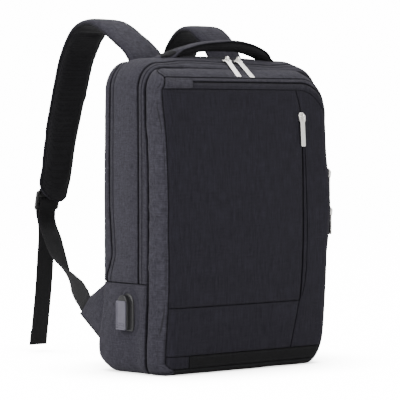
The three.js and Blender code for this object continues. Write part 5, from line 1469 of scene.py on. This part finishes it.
def build_wing(side):
    sign = -1 if side == "left" else 1
    x = sign * (BODY[0, 1] * HALF - WING["thick"] / 2)
    n, m = 34, 40
    a = np.linspace(0, 1, n)[:, None]
    b = np.linspace(0, 1, m)[None, :]
    low0, high0 = np.array([BACK_Y + 1, WING["foot"]]), np.array([BACK_Y + 1, WING["top"]])
    low1, high1 = (np.array([BACK_Y + WING["reach"], WING["end_foot"]]),
                   np.array([BACK_Y + WING["short"], WING["end_top"]]))
    yz = lerp(lerp(low0, high0, a[..., None]), lerp(low1, high1, a[..., None]), b[..., None])
    arc = np.abs(a - 0.5) * 2
    bow = 3.0 * (1 - arc**2) * np.sin(math.pi * b)
    edge_v = np.minimum(b, 1 - b) * 62 + 0 * a
    edge_u = np.minimum(a, 1 - a) * lerp(76, 33, b)
    near = np.minimum(edge_u, b * 0 + (1 - b) * 62)
    thick = 1.5 * np.sqrt(np.clip(1 - (1 - np.clip(near / 2.0, 0, 1)) ** 2, 0, 1)) + 0.2
    sides = []
    for s in (1, -1):
        px = x + sign * bow * 0.5 + s * sign * thick + 0.4 * noise(a * 70 + 0 * b, b * 60 + 0 * a, 16, 22, 61)
        sides.append(stack(px, yz[..., 0], yz[..., 1]))
    loop = np.concatenate([sides[0], sides[1][:, ::-1]], 1)
    uv = np.concatenate([stack(b * 62 + 0 * a, a * 70 + 0 * b, 0)] * 2, 1)[..., :2]
    edge = np.concatenate([np.stack([edge_u, edge_v], -1)] * 2, 1)
    obj = grid_object(f"wing_{side}", loop, None, uv, edge, loop_columns=True)
    bm = bmesh.new()
    bm.from_mesh(obj.data)
    bmesh.ops.holes_fill(bm, edges=[e for e in bm.edges if e.is_boundary], sides=0)
    bmesh.ops.recalc_face_normals(bm, faces=bm.faces)
    for f in bm.faces:
        f.smooth = True
    bm.to_mesh(obj.data)
    bm.free()
    dress(obj, SIDE_CLOTH, "body_cloth", f"wing_{side}")
    line = np.stack([np.full(m, x), yz[0, :, 0], yz[0, :, 1] - 0.6], -1)
    a2 = np.linspace(0, 2 * math.pi, 10, endpoint=False)
    ring = np.stack([np.cos(a2) * 1.7, np.sin(a2) * 1.7], -1)
    t = unit(np.gradient(line, axis=0))
    across = np.tile([1.0, 0, 0], (m, 1))
    piping = sweep(f"wing_piping_{side}", line, across, unit(np.cross(across, t)), ring)
    dress(piping, TAPE, "webbing")


for side in ("left", "right"):
    build_lock(side)
    build_tab(side)
    build_webbing(side)
    build_wing(side)


# Carrying handle

HANDLE = [(1, 0), (0.94, 0.1), (0.86, 0.3), (0.77, 0.49), (0.66, 0.67), (0.52, 0.83), (0.36, 0.95), (0.18, 1)]


# How far the handle droops, from left to right
DROOP = np.array([(-1, 0), (-0.86, 5), (-0.6, 7.5), (-0.2, 4.5), (0.2, 1.5), (0.55, 0), (0.82, -1.5), (0.94, -2.5), (1, 0)])


def top_of_body(x, from_back):
    half, top, run, rise, _ = (float(v) for v in body_section(np.asarray(float(from_back))))
    flat = half - run
    share = min(max(1 - abs(x) / flat, 0), 1)
    over = min(max((abs(x) - flat) / run, 0), 1)
    return top + CROWN * math.sin(QUARTER * share) - rise * (1 - math.sqrt(1 - over * over))


def build_handle():
    half, lift = 95.0, 5.0
    base = top_of_body(half - 24, 51)
    crown = top_of_body(0, 51) - base
    rows = [(-o, r) for o, r in HANDLE] + [(0, 1)] + [(o, r) for o, r in HANDLE[::-1]]
    foot = top_of_body(half, 51)
    knots = [(-half - 7, BACK_Y - 51, foot - 6), (-half - 3, BACK_Y - 51, foot - 1)]
    for o, r in rows:
        z = lerp(top_of_body(o * half, 51) - 0.5, base + crown + 13 + lift, r)
        z -= float(pchip(o, DROOP[:, 0], DROOP[:, 1]))
        knots.append((o * half, BACK_Y - 51, z))
    knots += [(half + 3, BACK_Y - 51, foot - 1), (half + 7, BACK_Y - 51, foot - 6)]
    line = spline(np.array(knots), 130)
    along = unit(np.gradient(line, axis=0))
    across = np.tile([0, 1.0, 0], (len(line), 1))
    out = unit(np.cross(along, across))
    out *= np.sign(out[:, 2:3])
    end = np.minimum(np.arange(len(line)), np.arange(len(line))[::-1]) / 14
    thick = lerp(10.0, 14.5, smooth((line[:, 0] + 50) / 110))
    line = line - out * (thick[:, None] - 11.4) / 2
    squash = lerp(0.4, 1, smooth(end))
    section = pad_section(1, 1)
    profile = section[None] * np.stack([lerp(22, 25, smooth(end)), thick * squash], -1)[:, None]
    pad = sweep("handle_pad", line + out * 0.4, across, out, profile)
    inflate(pad, 0.004, 0.002, 3.0)
    dress(pad, MESH_CLOTH, "back_mesh", "handle_pad")
    share = np.linspace(-1, 1, 21)
    y = share[None, :] * 12.2
    from_left = np.linspace(0, 1, len(line))[:, None] * 212
    anchor = smooth((44 - from_left) / 24)
    h = (thick * 0.55 * squash)[:, None] + 0.9 - (2.4 + 8 * anchor) * np.abs(share[None, :]) ** 3.5
    top = line[:, None] + across[:, None] * y[..., None] + out[:, None] * h[..., None]
    total = np.cumsum(np.concatenate([[0], np.linalg.norm(np.diff(line, axis=0), axis=1)]))
    uv = stack(y + 0 * h, total[:, None], 0)[..., :2]
    edge = np.stack(np.broadcast_arrays(np.minimum(total, total[-1] - total)[:, None], 12.2 * (1 - np.abs(share))[None, :]), -1)
    cover = grid_object("handle_cover", top, out[:, None] + 0 * top, uv, edge)
    skin = cover.modifiers.new("cloth", "SOLIDIFY")
    skin.thickness, skin.offset = 0.0011, -1
    apply_modifiers(cover)
    dress(cover, STRAP_CLOTH, "strap_cloth", "handle_cover")


build_handle()


# Zip sliders and pulls

def shape_object(name, outline, thick, holes=(), bevel=0.35):
    """A bevelled plate from an outline and its holes, in its own x, y, z."""
    curve = bpy.data.curves.new(name, "CURVE")
    curve.dimensions = "2D"
    curve.fill_mode = "BOTH"
    curve.extrude = max(thick / 2 - bevel, 0.01) * MM
    curve.bevel_depth = bevel * MM
    curve.bevel_resolution = 2
    for points in [outline, *holes]:
        line = curve.splines.new("POLY")
        line.points.add(len(points) - 1)
        for i, (x, y) in enumerate(points):
            line.points[i].co = (x * MM, y * MM, 0, 1)
        line.use_cyclic_u = True
    obj = bpy.data.objects.new(name, curve)
    bpy.context.scene.collection.objects.link(obj)
    dg = bpy.context.evaluated_depsgraph_get()
    mesh = bpy.data.meshes.new_from_object(obj.evaluated_get(dg))
    bpy.data.objects.remove(obj)
    made = bpy.data.objects.new(name, mesh)
    bpy.context.scene.collection.objects.link(made)
    bm = bmesh.new()
    bm.from_mesh(mesh)
    bmesh.ops.remove_doubles(bm, verts=bm.verts, dist=1e-6)
    bmesh.ops.recalc_face_normals(bm, faces=bm.faces)
    bm.to_mesh(mesh)
    bm.free()
    return made


def placed(obj, origin, x_axis, z_axis):
    z = Vector(z_axis).normalized()
    x = (Vector(x_axis) - z * z.dot(Vector(x_axis))).normalized()
    y = z.cross(x)
    m = Matrix((x, y, z)).transposed().to_4x4()
    m.translation = Vector(origin) * MM
    obj.data.transform(m)
    return obj


def build_slider(name, seat, out, hang, turn, dip, length):
    out = np.array(out, float) / np.linalg.norm(out)
    hang = np.array(hang, float)
    level = hang - out * np.dot(hang, out)
    level /= np.linalg.norm(level)
    cross = np.cross(out, level)
    run = level * math.cos(turn) + cross * math.sin(turn)
    origin = np.array(seat, float) + out * 0.3
    plate = shape_object("plate", rounded(12, 9, 3.0, 5), 1.9, bevel=0.55)
    placed(plate, origin + out * 0.9, run, out)
    keel = shape_object("keel", rounded(5, 1.6, 0.5, 2), 2.4, bevel=0.3)
    placed(keel, origin - out * 0.9, run, out)
    a = np.linspace(-0.15 * math.pi, 1.15 * math.pi, 24)
    arch = origin + out * (1.8 + 2.0 + 3.2 * np.sin(a)[:, None]) + level * (3.6 * np.cos(a)[:, None])
    t = unit(np.gradient(arch, axis=0))
    side = np.tile(cross, (24, 1))
    loop = sweep("loop", arch, side, unit(np.cross(t, side)), rounded(3.2, 1.7, 0.7, 3))
    body = joined(f"{name}_slider", [plate, keel, loop])
    dress(body, METAL, "silver_metal", f"{name}_slider")
    play = 1.1
    start = origin + out * (1.6 + play)
    way = level * math.cos(dip) - out * math.sin(dip)
    up = out * math.cos(dip) + level * math.sin(dip)
    a = np.linspace(0.24 * math.pi, 1.76 * math.pi, 26)
    head = np.stack([3.4 + 5.0 * np.cos(a), 5.0 * np.sin(a)], -1)
    c, tip = np.linspace(0, QUARTER, 5), length - 2.1
    low = np.stack([tip + 1.2 * np.sin(c), -2.3 - 1.2 * np.cos(c)], -1)
    high = np.stack([tip + 1.2 * np.cos(c), 2.3 + 1.2 * np.sin(c)], -1)
    outline = np.concatenate([head, low, high])
    hole = rounded(5.0, 5.0, 2.4, 4)[::-1] + np.array([3.4, 0])
    bar = shape_object(f"{name}_pull", outline, 1.7, [hole], bevel=0.45)
    placed(bar, start, way, up)
    dress(bar, METAL, "silver_metal", f"{name}_pull")


def build_sliders():
    for name, x, aside in (("main_left", 3, -15), ("main_right", 23, -11)):
        z = top_of_body(x, MAIN_ZIP) - float(pchip(x, SAG[:, 0], SAG[:, 1])) + 1.2
        y = float(body_y(np.asarray(MAIN_ZIP), np.asarray(z)))
        hang = (aside, -48, -12)
        build_slider(name, (x, y, z), (0, -0.25, 1), hang, QUARTER - math.atan2(-aside, 48), 0.27, 51)
    z = POCKET_TOP - 5.5
    left, right = (float(v) for v in slit_at(np.asarray(z)))
    p, out = face_surface(np.asarray((left + right) / 2), np.asarray(z))
    build_slider("pocket", p, out, (0, 0, -1), 0, 0, 41)
    for name, height in (("pouch_upper", 0.655), ("pouch_lower", 0.52)):
        t = RIM_START["right"] + RIGHT_HIGH - height * POUCH_HEIGHT
        seat = band_point(t, ZIP_SHARE * band_length(np.asarray(t)))[0]
        build_slider(name, seat, (1, 0, 0), (0, 0, -1), 0, 0, 34)


build_sliders()


# Charging port

def build_port():
    z0, from_back, width, height = 83.0, 57.0, 22.0, 47.0
    half = float(body_section(np.asarray(from_back))[0])
    x0 = -half - SIDE_SWELL * float(swell_at(np.asarray(z0)))
    y0 = BACK_Y - from_back

    def arch(w, h, count=28):
        a = np.linspace(0, 2 * math.pi, count * 4, endpoint=False)
        c, s = np.cos(a), np.sin(a)
        top = 0.62 * w
        x = np.where(s > 0, c * w / 2, np.sign(c) * np.abs(c) ** 0.22 * w / 2)
        y = np.where(s > 0, h / 2 - top + s * top, (h / 2 - top) * 0 + np.sign(s) * np.abs(s) ** 0.22 * (h / 2)
                     + (h / 2 - top) * (1 - np.abs(s) ** 0.22))
        return np.stack([x, y], -1)

    # width and height as shares of the housing, and how far each ring stands out
    rows = [(1.18, 1.1, -1.0), (1.18, 1.1, 0.8), (1.15, 1.08, 1.4), (1.04, 1.03, 1.7), (1.0, 1.0, 2.2),
            (1.0, 1.0, 7.6), (0.99, 0.99, 9.4), (0.96, 0.97, 10.5), (0.88, 0.93, 10.9), (0.5, 0.6, 10.9),
            (0.02, 0.02, 10.9)]
    loops = []
    for sw, sh, depth in rows:
        outline = arch(width * sw, height * sh)
        loops.append(stack(x0 - depth, y0 + outline[:, 0], z0 + outline[:, 1]))
    points = np.array(loops)
    middle = np.array([x0 - 4, y0, z0])
    obj = grid_object("port_housing", points, unit(points - middle), stack(points[..., 1], points[..., 2], 0)[..., :2],
                      loop_columns=True)
    dress(obj, PLASTIC, "black_plastic", "port_housing")
    lid = shape_object("port_cap", rounded(20, 38, 1.6, 4), 1.7, bevel=0.4)
    placed(lid, (x0 - 11.9, y0, z0 - 4), (0, 1, 0), (-1, 0, 0))
    ribs = []
    for size, across, up in (((1.5, 38), -9.2, 0), ((1.0, 34), 8.8, 0), ((19, 1.5), 0, -18.4), ((15, 0.9), 0, -14.4),
                             ((15, 0.9), 0, -11.8)):
        rib = shape_object("rib", rounded(*size, 0.4, 3), 1.1, bevel=0.3)
        ribs.append(placed(rib, (x0 - 12.9, y0 + across, z0 - 4 + up), (0, 1, 0), (-1, 0, 0)))
    cap = joined("port_cap", [lid, *ribs])
    dress(cap, RUBBER, "port_cap", "port_cap")


build_port()


# Camera, floor and light

camera = bpy.data.objects.new("camera", bpy.data.cameras.new("camera"))
bpy.context.scene.collection.objects.link(camera)
camera.location = (-2.0654, -2.4182, 0.345)
pitch, yaw = math.radians(2.07), math.radians(40)
look = Vector((math.sin(yaw) * math.cos(pitch), math.cos(yaw) * math.cos(pitch), -math.sin(pitch)))
camera.rotation_euler = look.to_track_quat("-Z", "Y").to_euler()
camera.data.lens, camera.data.sensor_width = 207.0, 36.0
camera.data.clip_end = 50
bpy.context.scene.camera = camera


def stage_material():
    """A pale floor that looks lit from within to the camera, and lights the bag as plain paper does; near the bag its
    glow drops, a painted contact shadow.
    """
    n = Nodes("studio_floor")
    shade = n.noise(n.solid(), 0.002, 2.0)
    n.out(n.mix(n.ramp(shade, 0.3, 0.7), (0.93, 0.93, 0.93, 1), (0.95, 0.95, 0.95, 1)), 0.9)
    seen = n.add("ShaderNodeLightPath").outputs["Is Camera Ray"]
    n.shader.inputs["Emission Color"].default_value = (1, 1, 1, 1)
    # Painted contact shadow: where ambient occlusion finds the bag within 0.12 m, the camera-only glow falls from 14
    # towards 2.
    near = n.add("ShaderNodeAmbientOcclusion", {"Distance": 0.12}).outputs["AO"]
    n.set(n.shader.inputs["Emission Strength"], n.math("MULTIPLY", seen, n.ramp(near, 0.35, 0.97, 2.0, 14.0)))
    return n.material


def build_stage():
    a = np.linspace(0, 2 * math.pi, 96, endpoint=False)
    ring = stack(np.cos(a), np.sin(a), 0)
    rings = np.array([ring * r for r in (20.0, 500.0, 2000.0, 9000.0)])
    floor = grid_object("studio_floor", rings, np.zeros_like(rings) + (0, 0, 1), loop_columns=True)
    floor.data.materials.append(stage_material())


build_stage()


def area_light(name, at, target, size, power):
    data = bpy.data.lights.new(name, "AREA")
    data.shape, data.size, data.size_y, data.energy = "RECTANGLE", size[0], size[1], power
    light = bpy.data.objects.new(name, data)
    light.location = at
    light.rotation_euler = (Vector(target) - Vector(at)).to_track_quat("-Z", "Y").to_euler()
    bpy.context.scene.collection.objects.link(light)


area_light("key", (-2.8, -0.2, 1.7), (0, 0, 0.2), (1.6, 1.8), 85)
area_light("fill", (0.5, -1.7, 1.9), (0, 0, 0.25), (1.8, 1.2), 14)
area_light("top", (0.2, 0.6, 2.8), (0, 0, 0.2), (2.6, 2.6), 85)
world = bpy.data.worlds.new("studio")
bpy.context.scene.world = world
world.use_nodes = True
background = world.node_tree.nodes["Background"]
background.inputs[0].default_value = (1, 1, 1, 1)
seen = world.node_tree.nodes.new("ShaderNodeLightPath")
strength = world.node_tree.nodes.new("ShaderNodeMapRange")
strength.inputs["To Min"].default_value = 1.0
strength.inputs["To Max"].default_value = 15.0
world.node_tree.links.new(seen.outputs["Is Camera Ray"], strength.inputs["Value"])
world.node_tree.links.new(strength.outputs[0], background.inputs[1])
